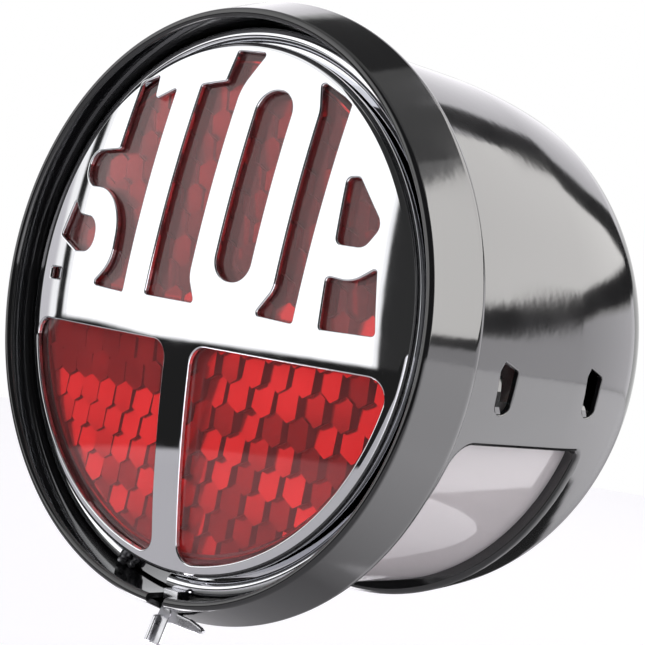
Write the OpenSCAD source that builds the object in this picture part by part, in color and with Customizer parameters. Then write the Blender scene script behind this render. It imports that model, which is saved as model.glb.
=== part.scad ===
/* [Drum] */
// Depth from the flat rear face to the front lip
body_depth = 82; // [80:0.5:88]
// Outside diameter of the drum
drum_d = 106.2; // [102:0.1:110]
// Thickness of the pressed steel
sheet_t = 0.9; // [0.7:0.1:1.1]
// Radius of the long shoulder where the drum begins to close in
shoulder_r = 137; // [120:1:160]
// Angle turned by the long shoulder
shoulder_a = 7.85; // [6:0.05:9]
// Radius of the rear corner
corner_r = 21; // [18:0.5:22]

/* [Rim] */
// How far the rim band flares out beyond the lip
rim_out = 3; // [2:0.1:4]
// Distance from the lip to the widest part of the rim
rim_wide_at = 9.3; // [8:0.1:10]
// Radius of the rim's rear corner
rim_corner_r = 1.7; // [1.3:0.1:2.2]
// Width of the notch that the finger tab passes through
notch_w = 10; // [9:0.5:12]
// Direction of the notch, seen from the front
notch_a = 271; // [268:0.5:274]

/* [Plate window] */
// Height of the opening's top edge, measured up from the lamp's axis
window_top = -16.3; // [-20:0.1:-14]
// Distance from the lip to the opening's front edge
window_front = 17.2; // [17:0.1:20]
// Distance from the lip to the opening's rear edge
window_rear = 54.5; // [48:0.1:55]
// Radius of the opening's front corners
window_front_r = 4; // [2:0.5:6]
// Radius of the opening's rear corners
window_rear_r = 1.5; // [1:0.1:4]
// Depth of the turned-in edge below the outside of the drum
window_edge = 3.1; // [2.6:0.1:3.6]
// Thickness of the clear sheet
window_t = 1.5; // [1:0.1:2]
// How far the clear sheet runs past the opening's front and rear edges
window_lap = 2.2; // [1.5:0.1:2.4]

/* [Side slots] */
// Distance from the lip to the middle of the front slots
slot_front = 24.9; // [24:0.1:30]
// Distance from the lip to the middle of the rear slots
slot_rear = 51.8; // [40:0.1:52.5]
// Height of a slot
slot_h = 9.6; // [8:0.1:10]
// Width of a slot at its upper end
slot_w = 3.8; // [3:0.1:4.5]
// Height of the upper end, measured up from the lamp's axis
slot_top = -1.3; // [-3:0.1:0]
// Width of the tab that is pressed in from a slot
tab_w = 2.4; // [2:0.1:2.6]
// How far the tip of a tab stands in from the drum
tab_in = 5.4; // [4.6:0.1:5.8]

/* [Grille and lens] */
// Radius of the domed face
dome_r = 236; // [200:1:300]
// How far the top of the dome stands in front of the lip
dome_front = 2.17; // [1.5:0.01:3]
// Clearance between the retaining ring and the grille's turned-back edge
edge_gap = 0.5; // [0.3:0.1:1]
// Thickness of the grille
grille_t = 0.9; // [0.7:0.1:1.1]
// Distance from the lip to the back of the grille's flange
grille_seat = 9; // [8.6:0.1:9.4]
// Width of the middle bar between the two lower windows
bar_w = 6.6; // [5:0.1:9]
// Height of the lower windows' top edge, measured up from the axis
pane_top = -7.1; // [-9:0.1:-6]
// Radius of the lower windows' outer edge
pane_r = 46.2; // [44:0.1:46.4]
// Radius of the lower windows' corners
pane_corner = 3.2; // [2:0.1:4.5]
// Thickness of the lens's face
lens_t = 2.2; // [1.8:0.1:2.6]
// Thickness of the lens's flange
lens_flange_t = 2; // [1.6:0.1:2.4]
// Thickness of the lens gasket
gasket_t = 1.5; // [1:0.1:2]
// Width of the seat behind the lens gasket, in from the drum's wall
seat_w = 4.8; // [4.2:0.1:5.6]
// Width of the lens's six-sided cells across their flats
cell_w = 5.1; // [4.6:0.1:6]
// Gap between neighbouring cells of the lens
cell_gap = 0.4; // [0.3:0.1:0.6]
// Height of the cells over the inside of the lens
cell_h = 0.7; // [0.5:0.1:0.8]

/* [Retaining ring] */
// Width of the ring's channel section
ring_w = 3; // [2.6:0.1:3.2]
// Height of the ring's channel section
ring_h = 2.7; // [2.4:0.1:3]
// Thickness of the ring's sheet
ring_t = 0.6; // [0.4:0.1:0.7]
// Direction of the ring's end that carries the tab, seen from the front
ring_end_a = 268.5; // [267:0.5:271]
// Angle of the gap between the ring's ends
ring_gap_a = 15.5; // [10:0.5:20]
// Length of the finger tab, from the ring to its free end
finger_len = 10.2; // [8.5:0.1:11.5]
// Angle by which the finger tab leans forward
finger_lean = 38; // [33:1:41]
// Width of the finger tab where it is welded on
finger_w = 4.4; // [4:0.1:4.8]
// Width of the finger tab's leg
leg_w = 2.6; // [2.2:0.1:3]
// Length of the pointed tongue beside the finger tab
tongue_len = 6; // [5:0.1:7]

/* [Bulb and socket] */
// Distance from the rear face to the bulb's contact face
bulb_seat = 15.4; // [15:0.1:18]
// Diameter of the glass bulb
glass_d = 26.5; // [24:0.1:27]
// Diameter of the bulb's cap
cap_d = 15.1; // [15:0.05:15.3]
// Length of the whole bulb
bulb_len = 50.8; // [48:0.1:52]
// Length of the bulb's cap
cap_len = 17; // [16:0.1:18]
// How far the bulb is pushed in to free its pins
push_len = 2.5; // [2:0.1:2.8]
// Thickness of the socket's shell
shell_t = 0.65; // [0.5:0.05:0.8]
// Thickness of the socket bracket
bracket_t = 1.2; // [1:0.1:1.6]
// Width of the socket bracket
bracket_w = 14; // [12:0.5:15]
// Diameter of the reflector
reflector_d = 93; // [80:0.5:94]
// Distance from the rear face to the flat middle of the reflector
reflector_z = 17.4; // [16.5:0.1:17.5]

/* [Rear fixings] */
// Distance between the two mounting bolts
bolt_gap = 50.8; // [46:0.1:54]
// Diameter of the mounting bolts
bolt_d = 6; // [5:0.5:6.5]
// How far the bolts stand out behind the lamp
bolt_out = 16; // [12:0.5:25]
// Width of the bolt heads across their flats
bolt_head_w = 10; // [9:0.5:11]
// Bore of the wire grommet
grommet_bore_d = 6.4; // [5:0.1:7]
// Sideways distance of the grommet from the lamp's axis
grommet_x = 15.5; // [15:0.5:16.5]
// Height of the grommet, measured up from the lamp's axis
grommet_y = -16; // [-18:0.5:-14]

/* [Hidden] */
$fn = 96;

// Running clearance between pieces that are slid into each other
slide_gap = 0.3;
// Small clearance between pieces that stay together
seat_gap = 0.2;
// Overlap of a cutting shape past the surface it cuts
cut = 1;

drum_r = drum_d / 2;
bore_r = drum_r - sheet_t;
lip_r = drum_r + sheet_t;
rim_r = lip_r + rim_out;
flare_a = atan2(rim_out, rim_wide_at);
rim_back_z = body_depth - rim_wide_at - rim_corner_r;
flat_r = drum_r - shoulder_r * (1 - cos(shoulder_a)) - corner_r * cos(shoulder_a);

// Lens stack, from the ring back to the seat, as heights over the rear face
flange_back_z = body_depth - grille_seat;
flange_front_z = flange_back_z + grille_t;
lens_back_z = flange_back_z - lens_flange_t;
gasket_back_z = lens_back_z - gasket_t;
seat_back_z = gasket_back_z - sheet_t;
seat_skirt_z = body_depth - window_front + sheet_t + slide_gap;
flange_r = bore_r - slide_gap - seat_gap;
seat_r = bore_r - seat_w;
lens_drop = grille_t + slide_gap;
// Space between the outermost cells and the lens's edge
cell_clear = 1.1;
dome_centre_z = body_depth + dome_front - dome_r;

// Plate window, with its clear sheet's ends under the tabs pressed in from the side slots
sheet_out_r = drum_r - window_edge - seat_gap / 2;
sheet_in_r = sheet_out_r - window_t;
tab_foot = slot_top - slot_h;
tab_tip = slot_top - 2.6;
tab_lean = atan2(tab_tip - tab_foot, tab_in);
window_sheet_top = tab_foot + (drum_r - sheet_t / 2 - sheet_out_r) * tan(tab_lean)
    - sheet_t / 2 / cos(tab_lean) - seat_gap;

// Upright slots over the bar: middle, width, height of the square foot, height of the arch's centre
uprights = [[-35.5, 6, 6.5, 13.5], [-20.2, 8, 1, 35.5], [-3.6, 8.4, 1, 39.5], [11, 8, 6, 35.5],
    [23.6, 6, 0.5, 34.5], [35.3, 7, 0.5, 20.5]];

// Ring
ring_out_r = bore_r - slide_gap;
ring_mid_r = ring_out_r - ring_w / 2;
grille_edge_r = ring_mid_r - ring_w / 2 - edge_gap;
ring_back_z = flange_front_z;
ring_front_z = ring_back_z + ring_h;
notch_floor_z = ring_front_z - slide_gap;
finger_t = 0.8;

// Bulb and socket
shell_in_r = cap_d / 2 + seat_gap;
shell_out_r = shell_in_r + shell_t;
shell_mouth_z = bulb_seat + cap_len - seat_gap;
carrier_t = 2.4;
button_h = 0.8;
carrier_front_z = bulb_seat - button_h;
carrier_back_z = carrier_front_z - carrier_t;
spring_len = 5.2;
spring_back_z = carrier_back_z - spring_len;
shell_back_z = spring_back_z - shell_t;
pin_low_at = 7.4;
pin_high_at = 10.4;
pin_low_z = bulb_seat + pin_low_at;
pin_high_z = bulb_seat + pin_high_at;
pin_r = 1;
pin_reach = 1.4;
pin_inside = 1.2;
cap_wall = 0.35;
cap_end_r = cap_d / 2 - 2.2;
contact_r = 1.6;
contact_x = cap_end_r - contact_r - 0.65;
slot_half_w = pin_r + seat_gap;
reflector_t = 0.5;
bridge_front_z = reflector_z - seat_gap / 2;
bridge_back_z = bridge_front_z - bracket_t;
shell_collar_z = reflector_z + reflector_t + seat_gap / 2;
bracket_leg_y = 14;
bracket_foot_len = 9;
glass_r = glass_d / 2;
glass_neck_r = cap_d / 2 - cap_wall - seat_gap / 2;
glass_t = 0.7;

// Rear fixings
washer_t = 1.2;
lock_t = 1.5;
head_h = 4;
shank_r = bolt_d / 2 - 0.1;
grommet_wall = 2;
grommet_groove_r = grommet_bore_d / 2 + grommet_wall;
grommet_flange_t = 1.8;
grommet_flange_r = grommet_groove_r + grommet_flange_t;

black_paint = [0.05, 0.05, 0.055];
chrome = [0.82, 0.83, 0.86];
red_lens = [0.75, 0.06, 0.08];
bare_steel = [0.62, 0.62, 0.6];
brass = [0.72, 0.58, 0.3];
rubber = [0.09, 0.09, 0.09];

// Lays the lamp down: pieces are drawn with the lens upwards and end with the lens facing -Y
module lay() { rotate([90, 0, 0]) children(); }

// Points of an arc in the plane, from angle a0 to angle a1
function arc_pts(c, r, a0, a1, n) =
    [for (i = [0:n]) let (a = a0 + (a1 - a0) * i / n) c + r * [cos(a), sin(a)]];
function reversed(p) = [for (i = [len(p) - 1:-1:0]) p[i]];

// A ring of rectangular section
module band(r_in, r_out, z0, z1) {
    difference() {
        translate([0, 0, z0]) cylinder(r = r_out, h = z1 - z0);
        translate([0, 0, z0 - cut]) cylinder(r = r_in, h = z1 - z0 + 2 * cut);
    }
}

// Extrudes an outline drawn as (distance behind the lip, height) across the whole lamp
module across(from, to) {
    translate([from, 0, body_depth]) rotate([0, 90, 0]) linear_extrude(to - from) children();
}

// Section of the drum's wall, set in by t from the outside
corner_c = [flat_r, corner_r];
shoulder_c = corner_c + (corner_r - shoulder_r) * [cos(shoulder_a), -sin(shoulder_a)];
function wall_path(t) = concat(
    [[0, t]],
    arc_pts(corner_c, corner_r - t, -90, -shoulder_a, 12),
    arc_pts(shoulder_c, shoulder_r - t, -shoulder_a, 0, 5),
    [[drum_r - t, body_depth - sheet_t]]);

module rim_section() {
    hem_c = [drum_r, body_depth - sheet_t];
    corner_c2 = [rim_r - rim_corner_r, body_depth - rim_wide_at];
    hem_inner = hem_c + [sheet_t, 0] - sheet_t * [cos(flare_a), sin(flare_a)];
    difference() {
        polygon(concat(
            arc_pts(hem_c, sheet_t, 180, 0, 10),
            arc_pts(corner_c2, rim_corner_r, flare_a, -90, 8),
            [[drum_r, rim_back_z], [bore_r, rim_back_z]]));
        polygon(concat(
            [[drum_r, rim_back_z + sheet_t]],
            arc_pts(corner_c2, rim_corner_r - sheet_t, -90, flare_a, 6),
            [hem_inner]));
    }
}

// Outline of the plate window's opening, grown by g
module window_outline(g) {
    front_r = window_front_r + g;
    rear_r = window_rear_r + g;
    x0 = window_front - g;
    x1 = window_rear + g;
    y1 = window_top + g;
    polygon(concat(
        [[x0, -rim_r - cut]],
        arc_pts([x0 + front_r, y1 - front_r], front_r, 180, 90, 6),
        arc_pts([x1 - rear_r, y1 - rear_r], rear_r, 90, 0, 6),
        [[x1, -rim_r - cut]]));
}

// Slanted side slot with a pointed top and a round foot, about its middle line
module slot_outline() {
    foot_r = slot_w * 0.42;
    foot_y = slot_top - slot_h + foot_r;
    foot_x = -slot_w * 0.12;
    polygon([[-foot_r, slot_top], [slot_w - foot_r, slot_top - slot_w * 0.38],
        [foot_x + foot_r, foot_y], [foot_x - foot_r, foot_y]]);
    translate([foot_x, foot_y]) circle(r = foot_r);
}

// Tab pressed in from a slot: hinged at the slot's foot, with its tip up and inside
module pressed_tab() {
    half = sheet_t / 2 * [sin(tab_lean), cos(tab_lean)];
    foot = [drum_r - sheet_t / 2, tab_foot];
    tip = [foot[0] - tab_in, tab_tip];
    linear_extrude(tab_w) polygon([foot - half, foot + half, tip + half, tip - half]);
}

module bucket() {
    color(black_paint) lay() {
        difference() {
            union() {
                rotate_extrude() polygon(concat(wall_path(0), reversed(wall_path(sheet_t))));
                rotate_extrude() rim_section();
            }
            // notch for the finger tab
            rotate([0, 0, notch_a]) translate([bore_r - cut, -notch_w / 2, notch_floor_z])
                cube([rim_r, notch_w, body_depth - notch_floor_z + cut]);
            across(-rim_r, rim_r) window_outline(0);
            for (d = [slot_front, slot_rear]) across(-rim_r, rim_r) translate([d, 0]) slot_outline();
            for (s = [-1, 1]) translate([s * bolt_gap / 2, 0, -cut])
                cylinder(d = bolt_d + 2 * seat_gap, h = sheet_t + 2 * cut);
            translate([grommet_x, grommet_y, -cut]) cylinder(r = grommet_groove_r, h = sheet_t + 2 * cut);
        }
        // turned-in edge round the plate window
        intersection() {
            band(drum_r - window_edge, drum_r - sheet_t / 2, 0, body_depth);
            difference() {
                across(-rim_r, rim_r) window_outline(sheet_t);
                across(-rim_r - cut, rim_r + cut) window_outline(0);
            }
        }
        for (d = [slot_front, slot_rear], s = [0, 1]) mirror([s, 0, 0])
            translate([0, 0, body_depth - d - slot_w * 0.1]) pressed_tab();
    }
}

// Welded ring of L section that the gasket lies on
module lens_seat_ring() {
    color(black_paint) lay() rotate_extrude() polygon([
        [seat_r, gasket_back_z], [bore_r, gasket_back_z], [bore_r, seat_skirt_z],
        [bore_r - sheet_t, seat_skirt_z], [bore_r - sheet_t, seat_back_z], [seat_r, seat_back_z]]);
}

module lens_gasket() {
    color(rubber) lay() band(seat_r, flange_r, gasket_back_z, lens_back_z);
}

// Domed face with a turned-back edge, set in by t, with the given bend radius
function dome_path(t, bend) =
    let (wall = grille_edge_r - t, big = dome_r - t,
        a = asin((wall - bend) / (big - bend)),
        c = [0, dome_centre_z] + (big - bend) * [sin(a), cos(a)])
    concat(arc_pts([0, dome_centre_z], big, 90, 90 - a, 14), arc_pts(c, bend, 90 - a, 0, 5));

// One of the two lower windows, on the right of the bar
module pane_outline() {
    q = pane_corner;
    x0 = bar_w / 2 + q;
    y1 = pane_top - q;
    far = pane_r - q;
    top_c = [sqrt(far * far - y1 * y1), y1];
    foot_c = [x0, -sqrt(far * far - x0 * x0)];
    polygon(concat(
        arc_pts(top_c, q, atan2(top_c[1], top_c[0]), 90, 5),
        arc_pts([x0, y1], q, 90, 180, 5),
        arc_pts(foot_c, q, 180, 360 + atan2(foot_c[1], foot_c[0]), 5),
        arc_pts([0, 0], pane_r, atan2(foot_c[1], foot_c[0]), atan2(top_c[1], top_c[0]), 16)));
}

// Upright slot with a square foot and an arched head
module upright_outline(u) {
    r = u[1] / 2;
    polygon(concat([[u[0] - r, u[2]], [u[0] + r, u[2]]], arc_pts([u[0], u[3]], r, 0, 180, 8)));
}

module grille() {
    color(chrome) lay() difference() {
        rotate_extrude() polygon(concat(
            dome_path(0, 1.6),
            [[grille_edge_r, flange_front_z], [flange_r, flange_front_z],
                [flange_r, flange_back_z], [grille_edge_r - grille_t, flange_back_z]],
            reversed(dome_path(grille_t, 1.6 - grille_t))));
        translate([0, 0, flange_back_z]) linear_extrude(body_depth) {
            for (s = [0, 1]) mirror([s, 0]) pane_outline();
            for (u = uprights) upright_outline(u);
        }
    }
}

// Six-sided cells on the inside of the lens, each standing square to the dome, with a point at its top
module lens_cells(inner) {
    corner = cell_w / sqrt(3);
    pitch = cell_w + cell_gap;
    row = pitch * sin(60);
    dome_in_r = dome_r - inner;
    reach = grille_edge_r - inner - corner - cell_clear;
    last = ceil(reach / row);
    for (j = [-last:last], i = [-last:last])
        let (x = (i + abs(j) % 2 / 2) * pitch, y = j * row, d = norm([x, y]), turn = atan2(y, x))
            if (d < reach) translate([0, 0, dome_centre_z]) rotate([0, 0, turn])
                rotate([0, asin(d / dome_in_r), 0]) rotate([0, 0, 30 - turn])
                    translate([0, 0, dome_in_r - cell_h]) cylinder(r = corner, h = cell_h + lens_t / 4, $fn = 6);
}

module lens() {
    inner = lens_drop + lens_t;
    color(red_lens) lay() union() {
        rotate_extrude() polygon(concat(
            dome_path(lens_drop, 1.4),
            [[grille_edge_r - lens_drop, flange_back_z], [flange_r, flange_back_z],
                [flange_r, lens_back_z], [grille_edge_r - inner, lens_back_z]],
            reversed(dome_path(inner, 0.8))));
        lens_cells(inner);
    }
}

module ring_section() {
    r_out = ring_w / 2;
    r_in = r_out - ring_t;
    c = [ring_mid_r, ring_front_z - r_out];
    polygon(concat(
        [[ring_mid_r + r_out, ring_back_z]], arc_pts(c, r_out, 0, 180, 10),
        [[ring_mid_r - r_out, ring_back_z], [ring_mid_r - r_in, ring_back_z]],
        arc_pts(c, r_in, 180, 0, 10), [[ring_mid_r + r_in, ring_back_z]]));
}

// Spring ring of channel section, cut open at the bottom
module retaining_ring() {
    color(chrome) lay() rotate([0, 0, ring_end_a])
        rotate_extrude(angle = 360 - ring_gap_a) ring_section();
}

// Finger tab welded to the ring's end: a foot on the ring, a leg that leans forward through the
// notch, with both edges turned back, and a pointed tongue along the outside of the rim
module ring_finger_tab() {
    half_w = finger_w / 2;
    a = ring_end_a + half_w / ring_mid_r * 180 / PI + 1;
    plate_len = finger_len / 2;
    edge_h = 1.2;
    edge_t = 0.4;
    color(chrome) lay() rotate([0, 0, a]) {
        translate([ring_mid_r - finger_t / 2, -half_w, ring_front_z])
            cube([bore_r - ring_mid_r + finger_t / 2, finger_w, finger_t]);
        translate([bore_r, 0, ring_front_z]) rotate([0, -finger_lean, 0]) {
            translate([0, -half_w, 0]) cube([plate_len, finger_w, finger_t]);
            translate([0, -half_w, 0]) cube([finger_len, leg_w, finger_t]);
            for (y = [-half_w, leg_w - half_w - edge_t]) translate([plate_len, y, -edge_h])
                cube([finger_len - plate_len, edge_t, edge_h + finger_t / 2]);
        }
        translate([lip_r + slide_gap, 0, body_depth]) rotate([0, -flare_a, 0]) rotate([90, 0, 90])
            linear_extrude(finger_t) polygon([[-half_w, -3], [0, -1], [half_w, -1], [half_w + tongue_len - 0.6, -4],
                [half_w + tongue_len, -4.8], [half_w + tongue_len - 0.6, -5.4], [half_w, -4.4], [-half_w, -4]]);
    }
}

// Curved clear sheet inside the turned-in edge
module plate_window() {
    z0 = body_depth - window_rear - window_lap;
    z1 = body_depth - window_front + window_lap;
    color([0.85, 0.86, 0.9, 0.5]) lay() intersection() {
        band(sheet_in_r, sheet_out_r, z0, z1);
        translate([-drum_r, -2 * drum_r, z0 - cut])
            cube([2 * drum_r, 2 * drum_r + window_sheet_top, z1 - z0 + 2 * cut]);
    }
}

module reflector() {
    r = reflector_d / 2;
    flat = 24;
    rise = 5;
    curve_r = (pow(r - flat, 2) + rise * rise) / (2 * rise);
    a = asin((r - flat) / curve_r);
    c = [flat, reflector_z + curve_r];
    color([0.9, 0.9, 0.9]) lay() rotate_extrude() polygon(concat(
        [[shell_out_r + seat_gap, reflector_z]], arc_pts(c, curve_r, -90, -90 + a, 8),
        arc_pts(c, curve_r - reflector_t, -90 + a, -90, 8),
        [[shell_out_r + seat_gap, reflector_z + reflector_t]]));
}

// Bridge strap with a round eye for the socket, spot-welded to the back by its two feet
module socket_bracket() {
    y1 = bracket_leg_y + bracket_t;
    section = [[-y1 - bracket_foot_len, sheet_t], [-y1 + bracket_t, sheet_t], [-y1 + bracket_t, bridge_back_z],
        [y1 - bracket_t, bridge_back_z], [y1 - bracket_t, sheet_t], [y1 + bracket_foot_len, sheet_t],
        [y1 + bracket_foot_len, sheet_t + bracket_t], [y1, sheet_t + bracket_t], [y1, bridge_front_z],
        [-y1, bridge_front_z], [-y1, sheet_t + bracket_t], [-y1 - bracket_foot_len, sheet_t + bracket_t]];
    color(bare_steel) lay() difference() {
        union() {
            rotate([0, 0, 90]) translate([0, bracket_w / 2, 0]) rotate([90, 0, 0])
                linear_extrude(bracket_w) polygon(section);
            translate([0, 0, bridge_back_z]) cylinder(r = bracket_leg_y - cut, h = bracket_t);
        }
        translate([0, 0, bridge_back_z - cut]) cylinder(r = shell_out_r + seat_gap / 2, h = bracket_t + 2 * cut);
    }
}

// Slot in the shell for one pin: an entry from the mouth, a turn, and the pin's resting place
bayonet_turn = 50;
module bayonet_slot(z) {
    deep = z - push_len;
    foot = deep - pin_r - seat_gap / 2;
    inner = shell_in_r - 2 * seat_gap;
    outer = shell_out_r + cut;
    // resting place, in line with the pin
    translate([inner, -slot_half_w, foot]) cube([outer - inner, 2 * slot_half_w, z + slot_half_w - foot]);
    // turn at the depth of the pushed-in pin, a little deeper than its two ends
    rotate_extrude(angle = bayonet_turn) polygon([[inner, deep - slot_half_w], [outer, deep - slot_half_w],
        [outer, deep + slot_half_w], [inner, deep + slot_half_w]]);
    // entry from the mouth
    rotate([0, 0, bayonet_turn]) translate([inner, -slot_half_w, foot])
        cube([outer - inner, 2 * slot_half_w, shell_mouth_z + cut - foot]);
}

module bulb_socket_shell() {
    collar_r = shell_out_r + 1.8;
    collar_t = 0.9;
    back_hole_r = shell_in_r - 2.6;
    color(bare_steel) lay() difference() {
        // the revolved wall starts between the slots, not in one of them
        rotate([0, 0, 120]) rotate_extrude() polygon([
            [shell_in_r, shell_mouth_z], [shell_out_r, shell_mouth_z],
            [shell_out_r, shell_collar_z + collar_t], [collar_r, shell_collar_z + collar_t],
            [collar_r, shell_collar_z], [shell_out_r, shell_collar_z], [shell_out_r, shell_back_z],
            [back_hole_r, shell_back_z], [back_hole_r, shell_back_z + shell_t],
            [shell_in_r, shell_back_z + shell_t]]);
        bayonet_slot(pin_high_z);
        rotate([0, 0, 180]) bayonet_slot(pin_low_z);
    }
}

module socket_contact_carrier() {
    color([0.35, 0.2, 0.1]) lay() difference() {
        translate([0, 0, carrier_back_z]) cylinder(r = shell_in_r - seat_gap, h = carrier_t);
        for (s = [-1, 1]) translate([s * contact_x, 0, carrier_back_z - cut])
            cylinder(r = 1, h = carrier_t + 2 * cut);
    }
}

// Two contact buttons with solder tails through the carrier
module socket_contacts() {
    color(brass) lay() for (s = [-1, 1]) translate([s * contact_x, 0, 0]) {
        translate([0, 0, carrier_front_z]) cylinder(r = 1.9, h = button_h);
        translate([0, 0, carrier_back_z - 1.8]) cylinder(r = 1, h = carrier_t + 1.8 + button_h / 2);
    }
}

// Coil spring behind the carrier, swept as one tube with flat-ended straight runs
module contact_spring() {
    wire = 0.8;
    r = shell_in_r - wire / 2 - seat_gap;
    turns = 3.5;
    rings = 84;
    z0 = spring_back_z + wire / 2 + 0.05;
    z1 = carrier_back_z - wire / 2 - 0.05;
    sides = 6;
    function ring_pts(i) = let (t = i / rings, a = 360 * turns * t,
        c = [r * cos(a), r * sin(a), z0 + (z1 - z0) * t], u = [cos(a), sin(a), 0])
        [for (k = [0:sides - 1]) c + wire / 2 * (cos(60 * k) * u + [0, 0, sin(60 * k)])];
    pts = [for (i = [0:rings]) each ring_pts(i)];
    faces = concat(
        [[for (k = [0:sides - 1]) k]],
        [[for (k = [sides - 1:-1:0]) rings * sides + k]],
        [for (i = [0:rings - 1], k = [0:sides - 1]) let (n = (k + 1) % sides)
            [i * sides + k, (i + 1) * sides + k, (i + 1) * sides + n, i * sides + n]]);
    color(bare_steel) lay() polyhedron(points = pts, faces = faces);
}

// Outline of the glass, set in by t
glass_ball_z = bulb_seat + bulb_len - glass_r;
glass_foot_z = bulb_seat + cap_len - 1.5;
function glass_path(t) =
    let (neck_r = glass_neck_r - t, ball_r = glass_r - t, blend = 12 + t,
        a = acos((neck_r + blend) / (ball_r + blend)),
        blend_z = glass_ball_z - (ball_r + blend) * sin(a))
    concat([[neck_r, glass_foot_z]],
        arc_pts([neck_r + blend, blend_z], blend, 180, 180 - a, 6),
        arc_pts([0, glass_ball_z], ball_r, -a, 90, 16));

module bulb_glass() {
    color([0.9, 0.95, 1, 0.4]) lay() rotate_extrude()
        polygon(concat(glass_path(0), reversed(glass_path(glass_t))));
}

module bulb_cap() {
    color(brass) lay() difference() {
        rotate_extrude() polygon([
            [cap_d / 2 - cap_wall, bulb_seat + cap_len], [cap_d / 2, bulb_seat + cap_len],
            [cap_d / 2, bulb_seat + 1.4], [cap_d / 2 - 1, bulb_seat + 0.5],
            [cap_end_r, bulb_seat + 0.5], [cap_end_r, bulb_seat + 0.5 + cap_wall],
            [cap_d / 2 - 1, bulb_seat + 0.5 + cap_wall], [cap_d / 2 - cap_wall, bulb_seat + 1.4 + cap_wall]]);
        for (p = [0, 1]) rotate([0, 90, p * 180]) translate([-(p == 0 ? pin_high_z : pin_low_z), 0, 0])
            cylinder(r = pin_r, h = cap_d);
    }
}

module bulb_cap_pins() {
    color(brass) lay() for (p = [0, 1]) rotate([0, 90, p * 180])
        translate([-(p == 0 ? pin_high_z : pin_low_z), 0, cap_d / 2 - pin_inside])
            cylinder(r = pin_r, h = pin_inside + pin_reach);
}

// Dark glass bead that closes the cap's end round the two contacts
module bulb_cap_insulator() {
    color([0.08, 0.08, 0.12]) lay() difference() {
        translate([0, 0, bulb_seat + 0.2]) cylinder(r = cap_end_r, h = 1.6);
        for (s = [-1, 1]) translate([s * contact_x, 0, bulb_seat]) cylinder(r = contact_r, h = 3);
    }
}

module bulb_cap_contacts() {
    color([0.7, 0.7, 0.68]) lay() for (s = [-1, 1]) translate([s * contact_x, 0, bulb_seat])
        cylinder(r = contact_r, h = 1.8);
}

// Glass foot inside the bulb that holds the support wires
stem_len = 24;
stem_r = 2.4;
stem_foot_h = 4;
stem_top_z = bulb_seat + stem_len;
module bulb_stem() {
    foot_z = glass_foot_z + seat_gap;
    foot_r = glass_neck_r - glass_t - seat_gap;
    color([0.85, 0.9, 0.95, 0.5]) lay() rotate_extrude() polygon([
        [0, foot_z], [foot_r, foot_z], [foot_r, foot_z + glass_t], [stem_r, foot_z + stem_foot_h],
        [stem_r, stem_top_z], [0, stem_top_z]]);
}

// Positions of the two filaments over the stem
filament_half = 3.4;
filament_y = 1.4;
stop_at = 33;
tail_at = 29;
stop_z = bulb_seat + stop_at;
tail_z = bulb_seat + tail_at;
wire_r = 0.22;
module bulb_support_wires() {
    color(bare_steel) lay() {
        for (s = [-1, 1]) {
            translate([s * filament_half, filament_y, stem_top_z])
                cylinder(r = wire_r, h = stop_z - stem_top_z + wire_r, $fn = 16);
            translate([s * filament_half, -filament_y, stem_top_z])
                cylinder(r = wire_r, h = tail_z - stem_top_z + wire_r, $fn = 16);
            for (y = [-filament_y, filament_y]) translate([0, y, stem_top_z + wire_r]) rotate([0, s * 90, 0])
                cylinder(r = wire_r, h = filament_half + wire_r, $fn = 16);
        }
    }
}

module filament(y, z, r) {
    lay() translate([-filament_half + wire_r, y, z]) rotate([0, 90, 0])
        cylinder(r = r, h = 2 * (filament_half - wire_r), $fn = 16);
}
module tail_filament() { color([0.4, 0.4, 0.42]) filament(-filament_y, tail_z, 0.3); }
module stop_filament() { color([0.4, 0.4, 0.42]) filament(filament_y, stop_z, 0.4); }

// Stack of washers inside the back, under each bolt head
washer_front_z = sheet_t + washer_t;
lock_front_z = washer_front_z + lock_t;

module mounting_bolts() {
    color(bare_steel) lay() for (s = [-1, 1]) translate([s * bolt_gap / 2, 0, 0]) {
        // thread behind the lamp, and a slightly thinner shank through the wall and the washers
        translate([0, 0, -bolt_out]) cylinder(d = bolt_d, h = bolt_out);
        cylinder(r = shank_r, h = lock_front_z);
        translate([0, 0, lock_front_z]) cylinder(d = bolt_head_w / cos(30), h = head_h, $fn = 6);
    }
}

module bolt_lock_washers() {
    color(bare_steel) lay() for (s = [-1, 1]) translate([s * bolt_gap / 2, 0, washer_front_z]) difference() {
        band(bolt_d / 2 + seat_gap, bolt_d / 2 + 2.2, 0, lock_t);
        rotate([0, 0, 50]) translate([0, -0.3, -cut]) cube([bolt_d, 0.6, lock_t + 2 * cut]);
    }
}

module bolt_flat_washers() {
    color(bare_steel) lay() for (s = [-1, 1]) translate([s * bolt_gap / 2, 0, 0])
        band(bolt_d / 2 + seat_gap, bolt_d / 2 + 2.5, sheet_t, washer_front_z);
}

// Grommet whose groove holds the edge of the wire hole; its outer face stays inside the rear face
module wire_grommet() {
    bore = grommet_bore_d / 2;
    color(rubber) lay() translate([grommet_x, grommet_y, 0]) rotate_extrude() polygon([
        [bore, 0], [grommet_groove_r, 0], [grommet_groove_r, sheet_t], [grommet_flange_r, sheet_t],
        [grommet_flange_r, sheet_t + grommet_flange_t], [bore, sheet_t + grommet_flange_t]]);
}

bucket();
lens_seat_ring();
retaining_ring();
ring_finger_tab();
grille();
lens();
lens_gasket();
plate_window();
reflector();
socket_bracket();
bulb_socket_shell();
socket_contact_carrier();
socket_contacts();
contact_spring();
bulb_glass();
bulb_cap();
bulb_cap_pins();
bulb_cap_insulator();
bulb_cap_contacts();
bulb_stem();
bulb_support_wires();
tail_filament();
stop_filament();
mounting_bolts();
bolt_lock_washers();
bolt_flat_washers();
wire_grommet();
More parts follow.
